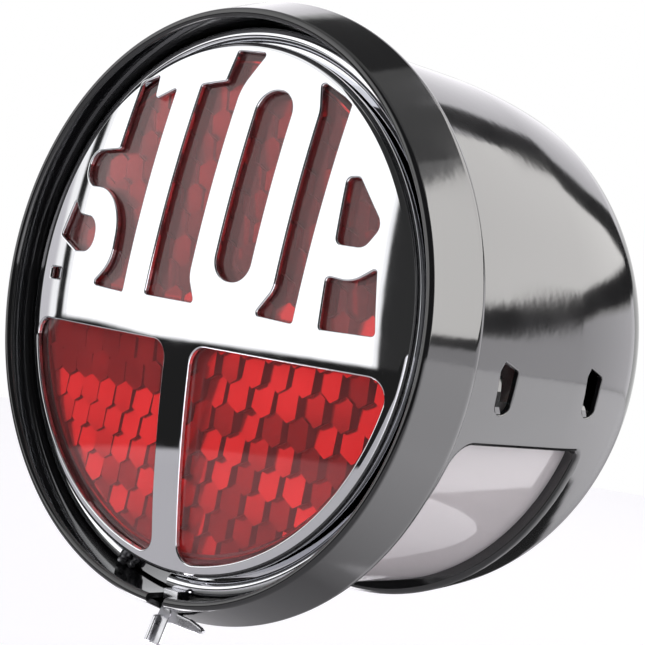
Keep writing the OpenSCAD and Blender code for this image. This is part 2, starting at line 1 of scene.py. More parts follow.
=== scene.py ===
import math
import random
import bmesh
import bpy
import numpy as np
from mathutils import Matrix, Vector, geometry, noise as mathutils_noise

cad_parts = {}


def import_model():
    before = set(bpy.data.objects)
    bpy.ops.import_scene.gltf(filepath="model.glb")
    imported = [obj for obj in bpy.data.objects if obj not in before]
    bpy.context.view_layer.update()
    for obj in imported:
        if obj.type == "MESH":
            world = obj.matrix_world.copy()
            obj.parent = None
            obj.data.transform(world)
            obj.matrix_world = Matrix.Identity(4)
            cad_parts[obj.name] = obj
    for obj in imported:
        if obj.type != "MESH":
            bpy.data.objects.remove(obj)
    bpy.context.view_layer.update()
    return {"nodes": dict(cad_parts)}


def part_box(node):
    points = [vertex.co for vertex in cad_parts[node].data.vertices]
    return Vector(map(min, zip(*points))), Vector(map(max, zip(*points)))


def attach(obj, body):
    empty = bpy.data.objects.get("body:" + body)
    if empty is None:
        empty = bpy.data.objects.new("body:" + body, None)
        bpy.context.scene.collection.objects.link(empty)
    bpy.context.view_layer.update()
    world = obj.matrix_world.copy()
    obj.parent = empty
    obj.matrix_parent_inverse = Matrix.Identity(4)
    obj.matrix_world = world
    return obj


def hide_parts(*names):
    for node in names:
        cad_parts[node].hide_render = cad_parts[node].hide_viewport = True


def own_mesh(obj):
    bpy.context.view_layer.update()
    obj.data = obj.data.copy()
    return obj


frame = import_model()

# Sizes are in millimetres in the lamp's own directions: x to the right and y up as seen from the
# front, z forward from the flat rear face. The frame has the lens facing -Y.
MM = 0.001


def span(node):
    """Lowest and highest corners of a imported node, as lamp directions in millimetres"""
    low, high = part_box(node)
    return ((low[0] / MM, low[2] / MM, -high[1] / MM), (high[0] / MM, high[2] / MM, -low[1] / MM))


# Bucket
DEPTH = span("bucket")[1][2]
RIM_R = span("bucket")[1][0]
SHEET = 0.9
DRUM_R = 53.1
BORE_R = DRUM_R - SHEET
RIM_WIDE_AT = 9.3
RIM_CORNER_R = 1.7
SHOULDER_R = 137
SHOULDER_A = 7.85
CORNER_R = 21
NOTCH_A = 272
NOTCH_W = 4.6
FLAT_INNER_R = 10
BOLT_X = 25.4
BOLT_HOLE_R = 3.2
WIRE_HOLE_R = 5.2
# How far cutting tools reach past the sheet on either side, at the lip and the drum's wall, and the heights
# between which they cut the flat back
LIP_OVER = 3
WALL_OVER = 4
BACK_CUT = (-1, 2)

# Plate window: edges behind the lip and their corners, top edge, bend and depth of the turned-in edge
WINDOW_FRONT = 17.2
WINDOW_FRONT_R = 4
WINDOW_REAR = 54.5
WINDOW_REAR_R = 2
WINDOW_TOP = -16.3
WINDOW_BEND = 1.2
WINDOW_EDGE = 3.1

# Side slots: distance behind the lip, rise over the first one, and how far the tab's tip is pressed in
SLOTS = ((24.9, 0, 1.7), (51.8, 0.9, 4.6))
SLOT_BEND = 0.3
# Corners of a slot as (height, place along the lamp, fillet radius)
SLOT_CORNERS = [(-10.3, 2.0, 2.0), (-10.3, -2.2, 2.0), (-2.6, -2.3, 0.4), (-1.3, 1.8, 0.3), (-2.9, 2.7, 0.3)]
# Sections of a tab from its foot to its tip: height, front and rear edges, depth below the drum's outside,
# and share of the way in
TAB_SECTIONS = [(-10.2, 1.1, -0.3, 0.15, 0), (-9.0, 1.9, 0.6, 0.2, 0), (-6.5, 2.2, 0.2, 0.2, 0.45),
                (-3.9, 2.5, -0.4, 0.2, 1)]
TAB_T = SHEET * 0.7
TAB_MIDDLE_Y = -7

# Grille, lens and ring
DOME_R = 236
DOME_TOP = span("grille")[1][2]
DOME_C = DOME_TOP - DOME_R
FLANGE_R = span("grille")[1][0]
FLANGE_Z = span("grille")[0][2]
GRILLE_R = 48.4
GRILLE_T = 0.9
GRILLE_BEND = 1.6
LENS_DROP = 1.2
LENS_FLANGE_T = 2
RING_W = 3
RING_T = 0.6
RING_END_A = 268.5
RING_GAP_A = 15.5
RING_TOP = span("retaining_ring")[1][2]
RING_CLEAR = 0.3
NOTCH_R = BORE_R - 1
NOTCH_Z = RING_TOP - 0.3


def frame_point(p):
    """A point in the lamp's directions, in millimetres, as a point of the frame in metres"""
    return (p[0] * MM, -p[2] * MM, p[1] * MM)


def frame_turn(v):
    """A direction in the lamp's directions as a direction of the frame"""
    return (v[0], -v[2], v[1])


def cos_sin(degrees):
    a = math.radians(degrees)
    return math.cos(a), math.sin(a)


# Outlines: lists of points with their outward normals, in a plane

def arc(centre, radius, start, end, steps, side=1):
    """Arc from one angle to another, in degrees; side -1 turns the normals inwards"""
    out = []
    for i in range(steps + 1):
        c, s = cos_sin(start + (end - start) * i / steps)
        out.append((centre[0] + radius * c, centre[1] + radius * s, side * c, side * s))
    return out


def line(p, q, side=1):
    """Straight run whose solid lies to its left; side -1 turns the normals"""
    d = Vector((q[0] - p[0], q[1] - p[1])).normalized() * side
    return [(p[0], p[1], d.y, -d.x), (q[0], q[1], d.y, -d.x)]


def lines(points, side=1):
    """Straight runs from point to point"""
    return [line(p, q, side) for p, q in zip(points, points[1:])]


def circle(radius, sides, centre=(0, 0)):
    return [(centre[0] + radius * math.cos(2 * math.pi * k / sides),
             centre[1] + radius * math.sin(2 * math.pi * k / sides)) for k in range(sides)]


def rounded(corners, step=0.35):
    """Closed outline through corners given as (x, y, fillet radius), in anticlockwise order, as one run"""
    out = []
    n = len(corners)
    for i in range(n):
        p, c, q = (Vector(corners[(i + k) % n][:2]) for k in (-1, 0, 1))
        radius = corners[i][2]
        a, b = (p - c).normalized(), (q - c).normalized()
        half = a.angle(b) / 2
        reach = radius / math.tan(half)
        limit = min((p - c).length, (q - c).length) * 0.98
        if reach > limit:
            reach = limit
            radius = reach * math.tan(half)
        centre = c + (a + b).normalized() * radius / math.sin(half)
        turn = 1 if (-a).cross(b) > 0 else -1
        start = c + a * reach - centre
        sweep = math.pi - 2 * half
        count = max(3, math.ceil(radius * sweep / step), math.ceil(math.degrees(sweep) / 12))
        first = math.atan2(start.y, start.x)
        for k in range(count + 1):
            t = first + turn * sweep * k / count
            u = Vector((math.cos(t), math.sin(t)))
            out.append((*(centre + radius * u), *(turn * u)))
    return subdivided(out)


def subdivided(run, longest=3.0):
    """Closed run with its long straight stretches split"""
    out = []
    for i, p in enumerate(run):
        q = run[(i + 1) % len(run)]
        count = max(1, math.ceil(math.dist(p[:2], q[:2]) / longest))
        out += [tuple(p[k] + (q[k] - p[k]) * j / count for k in range(4)) for j in range(count)]
    return out


def inside(point, outline):
    """Whether a point lies inside a closed outline"""
    x, y = point
    hit = False
    for i in range(len(outline)):
        (x0, y0), (x1, y1) = outline[i - 1][:2], outline[i][:2]
        if (y0 > y) != (y1 > y) and x < x0 + (y - y0) / (y1 - y0) * (x1 - x0):
            hit = not hit
    return hit


def placed(name, data):
    """New object in the scene with the given mesh or camera"""
    obj = bpy.data.objects.new(name, data)
    bpy.context.scene.collection.objects.link(obj)
    return obj


def from_bmesh(name, bm, place=None):
    """New object in the scene with the mesh that was built; place is a matrix that brings it, in lamp
    millimetres, to its own place"""
    if place is not None:
        for v in bm.verts:
            v.co = frame_point(place @ v.co)
        bmesh.ops.recalc_face_normals(bm, faces=bm.faces)
    mesh = bpy.data.meshes.new(name)
    bm.to_mesh(mesh)
    return placed(name, mesh)


def soften(obj, sharp=40):
    """Smooth shading, with sharp edges where faces meet at more than the given angle"""
    for polygon in obj.data.polygons:
        polygon.use_smooth = True
    obj.data.set_sharp_from_angle(angle=math.radians(sharp))
    return obj


class Skin:
    """Collects faces with a normal at each corner, and welds the corners that meet"""

    def __init__(self):
        self.points, self.index, self.faces, self.normals = [], {}, [], []
        self.slot, self.slots = 0, []

    def corner(self, p):
        key = tuple(round(c, 3) for c in p)
        if key not in self.index:
            self.index[key] = len(self.points)
            self.points.append(tuple(p))
        return self.index[key]

    def face(self, points, normals):
        ids = [self.corner(p) for p in points]
        keep = [k for k in range(len(ids)) if ids[k] != ids[k - 1]]
        if len(keep) < 3 or len({ids[k] for k in keep}) < 3:
            return
        ids, normals = [ids[k] for k in keep], [normals[k] for k in keep]
        a, b, c = (Vector(self.points[ids[k]]) for k in (0, 1, 2))
        way = (b - a).cross(c - b)
        if len(ids) == 4:
            way += (c - b).cross(Vector(self.points[ids[3]]) - c)
        mean = Vector(normals[0]) + Vector(normals[1]) + Vector(normals[2])
        if way.dot(mean) < 0:
            ids, normals = ids[::-1], normals[::-1]
        self.faces.append(ids)
        self.slots.append(self.slot)
        self.normals += normals

    def grid(self, points, normals, wrap=False):
        """Faces between rows of points; wrap joins the last row to the first"""
        rows = len(points)
        for i in range(rows if wrap else rows - 1):
            j = (i + 1) % rows
            for k in range(len(points[i]) - 1):
                self.face([points[i][k], points[j][k], points[j][k + 1], points[i][k + 1]],
                          [normals[i][k], normals[j][k], normals[j][k + 1], normals[i][k + 1]])

    def lathe(self, runs, start=0, sweep=360, steps=360):
        """Turns runs of (radius, height, normal) about the lamp's axis"""
        whole = sweep == 360
        count = round(steps * sweep / 360)
        turns = [cos_sin(start + sweep * i / count) for i in range(count if whole else count + 1)]
        for run in runs:
            points = [[(r * c, r * s, z) for r, z, _, _ in run] for c, s in turns]
            normals = [[(nr * c, nr * s, nz) for _, _, nr, nz in run] for c, s in turns]
            self.grid(points, normals, wrap=whole)

    def sweep(self, outline, section, point, turn):
        """Carries a section round an outline; point and turn place it on a curved sheet"""
        for run in section:
            points = [[point(x + u * nx, y + u * ny, h) for u, h, _, _ in run] for x, y, nx, ny in outline]
            normals = [[turn(x, y, nu * nx, nu * ny, nh) for _, _, nu, nh in run]
                       for x, y, nx, ny in outline]
            self.grid(points, normals, wrap=True)

    def fill(self, outline, place, normal):
        """Flat face with the given outline, placed by a function"""
        points = [place(p[0], p[1]) for p in outline]
        for tri in geometry.tessellate_polygon([[Vector((p[0], p[1], 0)) for p in outline]]):
            self.face([points[k] for k in tri], [normal] * 3)

    def build(self, name, smooth=True):
        mesh = bpy.data.meshes.new(name)
        mesh.from_pydata([frame_point(p) for p in self.points], [], self.faces)
        for polygon in mesh.polygons:
            polygon.use_smooth = smooth
        if smooth:
            mesh.normals_split_custom_set([Vector(frame_turn(n)).normalized() for n in self.normals])
        mesh.update()
        return placed(name, mesh)


def triangulate(outlines, holes, spacing, clear):
    """Triangles of a flat region with holes, with a net of inner points that are clear of its edges:
    (points, triangles)"""

    def filled(point):
        return any(inside(point, o) for o in outlines) and not any(inside(point, h) for h in holes)

    points, edges = [], []
    for outline in outlines + holes:
        first = len(points)
        points += [Vector(p[:2]) for p in outline]
        edges += [(first + i, first + (i + 1) % len(outline)) for i in range(len(outline))]
    rim = np.array([tuple(p) for p in points])
    low, high = rim.min(axis=0), rim.max(axis=0)
    for j, y in enumerate(np.arange(low[1] + spacing / 2, high[1], spacing * 0.87)):
        for x in np.arange(low[0] + spacing * (0.5 + 0.5 * (j % 2)), high[0], spacing):
            if np.min(np.hypot(rim[:, 0] - x, rim[:, 1] - y)) >= clear and filled((x, y)):
                points.append(Vector((x, y)))
    found = geometry.delaunay_2d_cdt(points, edges, [], 0, 1e-6)
    out = found[0]
    return out, [tri for tri in found[2] if filled(sum((out[k] for k in tri), Vector((0, 0))) / len(tri))]


# Sections turned about the lamp's axis, with the solid to the left of each run

FLARE_A = math.degrees(math.atan2(RIM_R - DRUM_R - SHEET, RIM_WIDE_AT))
SHOULDER_COS, SHOULDER_SIN = cos_sin(SHOULDER_A)
FLAT_R = DRUM_R - SHOULDER_R * (1 - SHOULDER_COS) - CORNER_R * SHOULDER_COS
CORNER_C = (FLAT_R, CORNER_R)
SHOULDER_C = (FLAT_R + (CORNER_R - SHOULDER_R) * SHOULDER_COS,
              CORNER_R - (CORNER_R - SHOULDER_R) * SHOULDER_SIN)
RIM_BACK_Z = DEPTH - RIM_WIDE_AT - RIM_CORNER_R
HEM_C = (DRUM_R, DEPTH - SHEET)
RIM_C = (RIM_R - RIM_CORNER_R, DEPTH - RIM_WIDE_AT)


def drum_radius(z):
    """Outside radius of the drum and its shoulder at a height over the rear face"""
    if z >= SHOULDER_C[1]:
        return DRUM_R
    return SHOULDER_C[0] + math.sqrt(SHOULDER_R ** 2 - (SHOULDER_C[1] - z) ** 2)


def bucket_runs():
    """Outside of the bowl, the rim with its rolled lip, the inside, and the hollow in the rim"""
    outer = [
        [(r, 0, 0, -1) for r in (0, FLAT_INNER_R, FLAT_R)],
        arc(CORNER_C, CORNER_R, -90, -SHOULDER_A, 28),
        arc(SHOULDER_C, SHOULDER_R, -SHOULDER_A, 0, 14),
        *lines([(DRUM_R, SHOULDER_C[1]), (DRUM_R, RIM_BACK_Z), (RIM_C[0], RIM_BACK_Z)]),
        arc(RIM_C, RIM_CORNER_R, -90, FLARE_A, 14),
    ]
    outer.append([outer[-1][-1]] + arc(HEM_C, SHEET, FLARE_A, 180, 16))
    inner = [
        line((BORE_R, HEM_C[1]), (BORE_R, SHOULDER_C[1])),
        arc(SHOULDER_C, SHOULDER_R - SHEET, 0, -SHOULDER_A, 14, -1),
        arc(CORNER_C, CORNER_R - SHEET, -SHOULDER_A, -90, 20, -1),
        [(r, SHEET, 0, 1) for r in (FLAT_R, FLAT_INNER_R, 0)],
    ]
    flare = cos_sin(FLARE_A)
    hem_in = (HEM_C[0] + SHEET * (1 - flare[0]), HEM_C[1] - SHEET * flare[1])
    hollow = arc(RIM_C, RIM_CORNER_R - SHEET, -90, FLARE_A, 8, -1)
    hollow_runs = [
        *lines([(RIM_C[0], RIM_BACK_Z + SHEET), (DRUM_R, RIM_BACK_Z + SHEET), hem_in, hollow[-1][:2]]),
        hollow[::-1],
    ]
    return outer, inner, hollow_runs


def boolean(obj, tools):
    """Cuts the tools out of a piece for good"""
    for tool in tools:
        modifier = obj.modifiers.new("cut", "BOOLEAN")
        modifier.operation = "DIFFERENCE"
        modifier.solver = "EXACT"
        modifier.object = tool
    graph = bpy.context.evaluated_depsgraph_get()
    mesh = bpy.data.meshes.new_from_object(obj.evaluated_get(graph))
    old = obj.data
    obj.modifiers.clear()
    obj.data = mesh
    bpy.data.meshes.remove(old)
    for tool in tools:
        bpy.data.objects.remove(tool)


def values(items, name, width=1, kind=float):
    """An attribute of all items, as an array"""
    out = np.empty(len(items) * width, dtype=kind)
    items.foreach_get(name, out)
    return out.reshape(-1, width) if width > 1 else out


def shade_by_section(obj, runs):
    """Gives each corner the normal of the turned section that it lies on, and cut faces their own"""
    # Farthest that a corner may be from its section, least likeness and greatest sideways lean of its own
    # normal, what unlikeness counts against distance, and corners looked at in one go
    far, alike, aside, weight, batch = 0.03, 0.8, 0.3, 0.2, 20000
    mesh = obj.data
    start = np.array([p for run in runs for p in run[:-1]])
    end = np.array([p for run in runs for p in run[1:]])
    p = values(mesh.vertices, "co", 3)[values(mesh.loops, "vertex_index", kind=np.int64)] / MM
    corners = values(mesh.polygons, "loop_total", kind=np.int64)
    flat = np.repeat(values(mesh.polygons, "normal", 3), corners, axis=0)
    x, y, z = p[:, 0], p[:, 2], -p[:, 1]
    r = np.maximum(np.hypot(x, y), 1e-9)
    ex, ey = x / r, y / r
    nr = flat[:, 0] * ex + flat[:, 2] * ey
    nt = -flat[:, 0] * ey + flat[:, 2] * ex
    nz = -flat[:, 1]
    out = flat.copy()
    step = end[:, :2] - start[:, :2]
    length2 = np.maximum((step ** 2).sum(axis=1), 1e-12)
    for first in range(0, len(p), batch):
        s = slice(first, first + batch)
        dr = r[s, None] - start[None, :, 0]
        dz = z[s, None] - start[None, :, 1]
        t = np.clip((dr * step[:, 0] + dz * step[:, 1]) / length2, 0, 1)
        gap = np.hypot(dr - t * step[:, 0], dz - t * step[:, 1])
        sr = start[:, 2] + t * (end[:, 2] - start[:, 2])
        sz = start[:, 3] + t * (end[:, 3] - start[:, 3])
        size = np.maximum(np.hypot(sr, sz), 1e-9)
        sr, sz = sr / size, sz / size
        match = sr * nr[s, None] + sz * nz[s, None]
        best = np.argmin(gap + (1 - match) * weight, axis=1)
        rows = np.arange(len(best))
        good = (gap[rows, best] < far) & (match[rows, best] > alike) & (np.abs(nt[s]) < aside)
        br, bz = sr[rows, best], sz[rows, best]
        found = np.stack([br * ex[s], -bz, br * ey[s]], axis=1)
        out[s][good] = found[good]
    for polygon in mesh.polygons:
        polygon.use_smooth = True
    mesh.normals_split_custom_set([tuple(v) for v in out])
    mesh.update()


def block(name, low, high, turn=0):
    """Box as a cutting tool, turned about the lamp's axis"""
    bm = bmesh.new()
    bmesh.ops.create_cube(bm, size=1)
    centre = [(a + b) / 2 for a, b in zip(low, high)]
    size = [b - a for a, b in zip(low, high)]
    t = Matrix.Rotation(math.radians(turn), 3, "Z")
    for v in bm.verts:
        v.co = frame_point(t @ Vector([v.co[k] * size[k] + centre[k] for k in range(3)]))
    return from_bmesh(name, bm)


def rod(name, centre, radius, z0, z1, sides=64):
    """Round cutting tool along the lamp's axis"""
    skin = Skin()
    ring = circle(radius, sides, centre)
    for k in range(sides):
        a, b = ring[k - 1], ring[k]
        n = (a[0] + b[0] - 2 * centre[0], a[1] + b[1] - 2 * centre[1], 0)
        skin.face([(*a, z0), (*b, z0), (*b, z1), (*a, z1)], [n] * 4)
    for z, way in ((z0, -1), (z1, 1)):
        skin.fill(ring, lambda x, y, z=z: (x, y, z), (0, 0, way))
    return skin.build(name)


# Openings in the drum's wall, drawn on the unrolled wall: s round the drum from its foot, z forward

def on_wall(s, z, rise=0, side=1):
    """Point on the drum's outside, or a distance over it"""
    a = math.radians(-90) + side * s / DRUM_R
    r = drum_radius(z) + rise
    return (r * math.cos(a), r * math.sin(a), z)


def wall_turn(s, ds, dz, rise, side=1):
    """Direction given by its parts round the drum, forward and outward"""
    a = math.radians(-90) + side * s / DRUM_R
    c, n = math.cos(a), math.sin(a)
    return (rise * c - side * ds * n, rise * n + side * ds * c, dz)


def height_to_s(y):
    """Way round the drum from its foot up to a height on the right-hand side"""
    return DRUM_R * (math.pi / 2 + math.asin(y / DRUM_R))


def wall_tool(name, outline, grow, side=1):
    """Cutting tool through the drum's wall with a given outline"""
    grown = [(p[0] + grow * p[2], p[1] + grow * p[3]) for p in outline]
    points, tris = triangulate([grown], [], spacing=4, clear=1.5)
    skin = Skin()
    for way in (1, -1):
        for tri in tris:
            skin.face([on_wall(*points[k], way * WALL_OVER, side) for k in tri],
                      [wall_turn(points[k][0], 0, 0, way, side) for k in tri])
    for i, (a, b) in enumerate(zip(grown[-1:] + grown, grown)):
        n = wall_turn(a[0], *outline[i][2:4], 0, side)
        skin.face([on_wall(*a, -WALL_OVER, side), on_wall(*b, -WALL_OVER, side),
                   on_wall(*b, WALL_OVER, side), on_wall(*a, WALL_OVER, side)], [n] * 4)
    return skin.build(name)


def turned_edge(skin, outline, bend, depth, side=1):
    """Edge of the sheet bent in round an opening: bend is the outer radius, depth the whole reach"""
    straight = bend if depth <= SHEET else SHEET
    section = [arc((bend, -bend), bend, 90, 180, 8), line((0, -bend), (0, -depth)),
               line((0, -depth), (straight, -depth))]
    if depth > SHEET:
        section += [line((SHEET, -depth), (SHEET, -bend)),
                    arc((bend, -bend), bend - SHEET, 180, 90, 4, -1)]
    skin.sweep(outline, section, lambda s, z, h: on_wall(s, z, h, side),
               lambda s, z, ds, dz, h: wall_turn(s, ds, dz, h, side))


def window_outline():
    s = height_to_s(WINDOW_TOP)
    front, rear = DEPTH - WINDOW_FRONT, DEPTH - WINDOW_REAR
    return rounded([(-s, rear, WINDOW_REAR_R), (s, rear, WINDOW_REAR_R), (s, front, WINDOW_FRONT_R),
                    (-s, front, WINDOW_FRONT_R)])


def slot_outline(at, rise):
    """Slanted slot with a pointed top and a round foot, on the right-hand side"""
    return rounded([(height_to_s(y + rise), DEPTH - at + z, r) for y, z, r in SLOT_CORNERS], 0.2)


def bucket():
    outer, inner, hollow = bucket_runs()
    skin = Skin()
    skin.lathe(outer + inner + hollow)
    shell = skin.build("bucket_shell")
    tools = [block("notch", (NOTCH_R, -NOTCH_W / 2, NOTCH_Z),
                   (RIM_R + LIP_OVER, NOTCH_W / 2, DEPTH + LIP_OVER), NOTCH_A),
             wall_tool("window", window_outline(), WINDOW_BEND)]
    for side in (1, -1):
        tools += [wall_tool("slot", slot_outline(at, rise), SLOT_BEND, side) for at, rise, _ in SLOTS]
    low, high = span("wire_grommet")
    tools.append(rod("wire_hole", ((low[0] + high[0]) / 2, (low[1] + high[1]) / 2), WIRE_HOLE_R, *BACK_CUT))
    tools += [rod("bolt_hole", (side * BOLT_X, 0), BOLT_HOLE_R, *BACK_CUT) for side in (1, -1)]
    boolean(shell, tools)
    shade_by_section(shell, outer + inner + hollow)
    edges = Skin()
    turned_edge(edges, window_outline(), WINDOW_BEND, WINDOW_EDGE)
    for side in (1, -1):
        for at, rise, _ in SLOTS:
            turned_edge(edges, slot_outline(at, rise), SLOT_BEND, SHEET, side)
    return [shell, edges.build("bucket_edges"), slot_tabs()]


def slot_tabs():
    """Tabs pressed in from the slots, hinged at the slot's foot, wider towards the tip"""
    skin = Skin()
    for at, rise, reach in SLOTS:
        for side in (1, -1):
            grid = []
            for y, front, rear, sink, share in TAB_SECTIONS:
                s, z = height_to_s(y + rise), DEPTH - at
                top = -sink - reach * share
                corners = ((front, top), (rear, top), (rear, top - TAB_T), (front, top - TAB_T))
                grid.append([on_wall(s, z + across, out, side) for across, out in corners])
            out = wall_turn(height_to_s(TAB_MIDDLE_Y), 0, 0, 1, side)
            back = tuple(-c for c in out)
            for low, high in zip(grid, grid[1:]):
                for k, n in enumerate((out, (0, 0, -1), back, (0, 0, 1))):
                    j = (k + 1) % 4
                    skin.face([low[k], low[j], high[j], high[k]], [n] * 4)
            skin.face(grid[0], [(0, -1, 0)] * 4)
            skin.face(grid[-1], [(0, 1, 0)] * 4)
    return skin.build("slot_tabs", smooth=False)


# Grille: a flat pattern pressed into the dome

PANE_TOP = -7.0
BAR_HALF = 3.3
PANE_R = 46.2
PANE_CORNER = 3.4
EDGE_R = 0.32


def pane(side):
    """Lower window between the bar and the round border, as a closed run"""
    q = PANE_CORNER
    far = PANE_R - q
    x0, y1 = BAR_HALF + q, PANE_TOP - q
    top = (math.sqrt(far * far - y1 * y1), y1)
    foot = (x0, -math.sqrt(far * far - x0 * x0))
    top_a, foot_a = (math.degrees(math.atan2(p[1], p[0])) for p in (top, foot))
    run = (arc((0, 0), PANE_R, foot_a, top_a, 60) + arc(top, q, top_a, 90, 10)
           + arc((x0, y1), q, 90, 180, 8) + arc(foot, q, 180, 360 + foot_a, 10))
    if side < 0:
        run = [(-x, y, -nx, ny) for x, y, nx, ny in run[::-1]]
    clean = [p for i, p in enumerate(run) if math.dist(p[:2], run[i - 1][:2]) > 1e-6]
    return subdivided(clean)


# Openings that leave four plain block letters standing, anticlockwise, as (x, y, fillet radius)
LETTER_GAPS = [
    [(-41.3, 9.5, 0.5), (-35.2, 6.9, 2), (-29.4, 7.2, 3), (-29.6, 13.4, 3), (-35.8, 13.9, 2.5),
     (-38.4, 16.6, 0.5)],
    [(-27.4, 1.0, 0.5), (-17.6, 0.5, 0.5), (-14.5, 39.2, 0.4), (-20.2, 36.9, 0.8), (-20.6, 41.6, 0.4),
     (-25.4, 40.2, 0.6), (-27.1, 27.1, 0.6), (-36.2, 26.4, 3.2), (-36.0, 19.9, 3.2), (-22.4, 19.4, 9),
     (-22.5, 5.4, 7)],
    [(-10.9, 0.7, 0.6), (2.2, 0.5, 0.5), (0.1, 5.0, 6), (2.6, 39.6, 9), (6.7, 46.1, 0.5), (-0.4, 46.5, 0.4),
     (-1.4, 40.8, 0.5), (-7.6, 40.0, 0.5)],
    [(5.8, 5.2, 3.9), (14.1, 5.1, 3.9), (16.3, 39.2, 3.9), (8.0, 39.4, 3.9)],
    [(17.0, 0.1, 0.6), (25.2, -0.3, 0.5), (28.2, 37.9, 0.9), (20.9, 41.4, 0.5), (22.3, 36.2, 6),
     (20.4, 4.8, 4)],
    [(31.4, 14.0, 1.2), (36.8, 13.9, 2.2), (39.4, 17.8, 2.2), (33.4, 25.4, 1.0), (31.1, 25.2, 1.0)],
    [(30.9, -0.5, 0.6), (41.6, -0.3, 0.6), (40.0, 10.6, 0.4), (35.8, 7.8, 6), (30.8, 8.3, 0.7)],
]
# Opening of the small tongue that is pressed in beside the border, and the tongue: how far it is clear of
# the opening's end and sides, its thickness and how far its tip is pressed in
TONGUE_GAP = [(-42.9, 0.9, 0.3), (-38.9, 0.9, 0.3), (-38.9, 3.1, 0.3), (-42.9, 3.1, 0.3)]
TONGUE_SHORT = 1.5
TONGUE_CLEAR = 0.15
TONGUE_T = 0.5
TONGUE_SINK = 0.9


def on_dome(x, y, sink=0):
    """Point of the dome over a point of the flat pattern, sunk below the outer face"""
    n = dome_normal(x, y)
    return (n[0] * (DOME_R - sink), n[1] * (DOME_R - sink), DOME_C + n[2] * (DOME_R - sink))


def dome_normal(x, y):
    return (x / DOME_R, y / DOME_R, math.sqrt(1 - (x * x + y * y) / DOME_R ** 2))


def dome_turn(x, y, nx, ny, rise):
    """Direction with a part along the flat pattern and a part out of the dome"""
    n = Vector(dome_normal(x, y))
    t = Vector((nx, ny, 0))
    t -= n * t.dot(n)
    return tuple((t + n * rise).normalized())


def grille():
    bend_a = math.degrees(math.asin((GRILLE_R - GRILLE_BEND) / (DOME_R - GRILLE_BEND)))
    bend_cos, bend_sin = cos_sin(bend_a)
    bend_c = (GRILLE_R - GRILLE_BEND, DOME_C + (DOME_R - GRILLE_BEND) * bend_cos)
    outlines = [pane(1), pane(-1)] + [rounded(g) for g in LETTER_GAPS] + [rounded(TONGUE_GAP, 0.1)]
    grown = [[(x + EDGE_R * nx, y + EDGE_R * ny) for x, y, nx, ny in o] for o in outlines]
    skin = Skin()
    points, tris = triangulate([circle(DOME_R * bend_sin, 360)], grown, spacing=2.2, clear=1.0)
    for tri in tris:
        xy = [tuple(points[k]) for k in tri]
        skin.face([on_dome(*p) for p in xy], [dome_normal(*p) for p in xy])
        skin.face([on_dome(*p, GRILLE_T) for p in xy], [tuple(-c for c in dome_normal(*p)) for p in xy])
    edge = arc((EDGE_R, -EDGE_R), EDGE_R, 90, 180, 6)
    wall = line((0, -EDGE_R), (0, -GRILLE_T))
    back = [(0, -GRILLE_T, 0, -1), (EDGE_R, -GRILLE_T, 0, -1)]
    for outline in outlines:
        skin.sweep(outline, (edge, wall, back), lambda x, y, h: on_dome(x, y, -h), dome_turn)
    back_r = GRILLE_R - GRILLE_T
    skin.lathe([
        arc(bend_c, GRILLE_BEND, 90 - bend_a, 0, 12),
        *lines([(GRILLE_R, bend_c[1]), (GRILLE_R, FLANGE_Z + GRILLE_T), (FLANGE_R, FLANGE_Z + GRILLE_T),
                (FLANGE_R, FLANGE_Z), (back_r, FLANGE_Z), (back_r, bend_c[1])], -1),
        arc(bend_c, GRILLE_BEND - GRILLE_T, 0, 90 - bend_a, 6, -1),
    ])
    return [skin.build("grille_face"), grille_tongue()]


def grille_tongue():
    """Small tongue hinged at the inner end of its opening and pressed in towards the lens"""
    (x0, y0, _), (x1, y1, _) = TONGUE_GAP[0], TONGUE_GAP[2]
    x0 += TONGUE_SHORT
    y0, y1 = y0 + TONGUE_CLEAR, y1 - TONGUE_CLEAR
    skin = Skin()
    steps = 8
    rows = [(x1 + (x0 - x1) * i / steps, TONGUE_SINK * (i / steps) ** 2) for i in range(steps + 1)]

    def quad(spots, n):
        skin.face([on_dome(*spot) for spot in spots], [n] * 4)

    for (xa, sa), (xb, sb) in zip(rows, rows[1:]):
        tilt = (sb - sa) / (xa - xb)
        for t, way in ((0, 1), (TONGUE_T, -1)):
            quad([(xa, y0, sa + t), (xb, y0, sb + t), (xb, y1, sb + t), (xa, y1, sa + t)],
                 dome_turn(xa, y0, -tilt * way, 0, way))
        for y, way in ((y0, -1), (y1, 1)):
            quad([(xa, y, sa), (xb, y, sb), (xb, y, sb + TONGUE_T), (xa, y, sa + TONGUE_T)], (0, way, 0))
    x, s = rows[-1]
    quad([(x, y0, s), (x, y1, s), (x, y1, s + TONGUE_T), (x, y0, s + TONGUE_T)], (-1, 0, 0))
    return skin.build("grille_tongue")


# Lens: a smooth clear outer dome over a sheet of six-sided prism cells

LENS_EDGE_R = GRILLE_R - LENS_DROP
LENS_BACK_Z = FLANGE_Z - LENS_FLANGE_T
LENS_BEND = 1.4
LENS_SHELL_T = 2.2
# Sheet of prism cells: its radius, its depth under the dome, its thickness behind the cells and its wall
PRISM_R = 44.9
PRISM_DROP = LENS_DROP + LENS_SHELL_T + 0.2
PRISM_T = 0.2
PRISM_WALL = 0.3
# A cell: width across flats, depth, width and sink of the steep bar, and how far a lean sinks its middle
CELL = 5.5
CELL_DEPTH = 3.6
CELL_BAR = 1.0
CELL_BAR_SINK = 1.3
CELL_LEAN_SINK = 0.45
CELL_BACK = PRISM_DROP + CELL_DEPTH + PRISM_T
CELL_SEED = 7
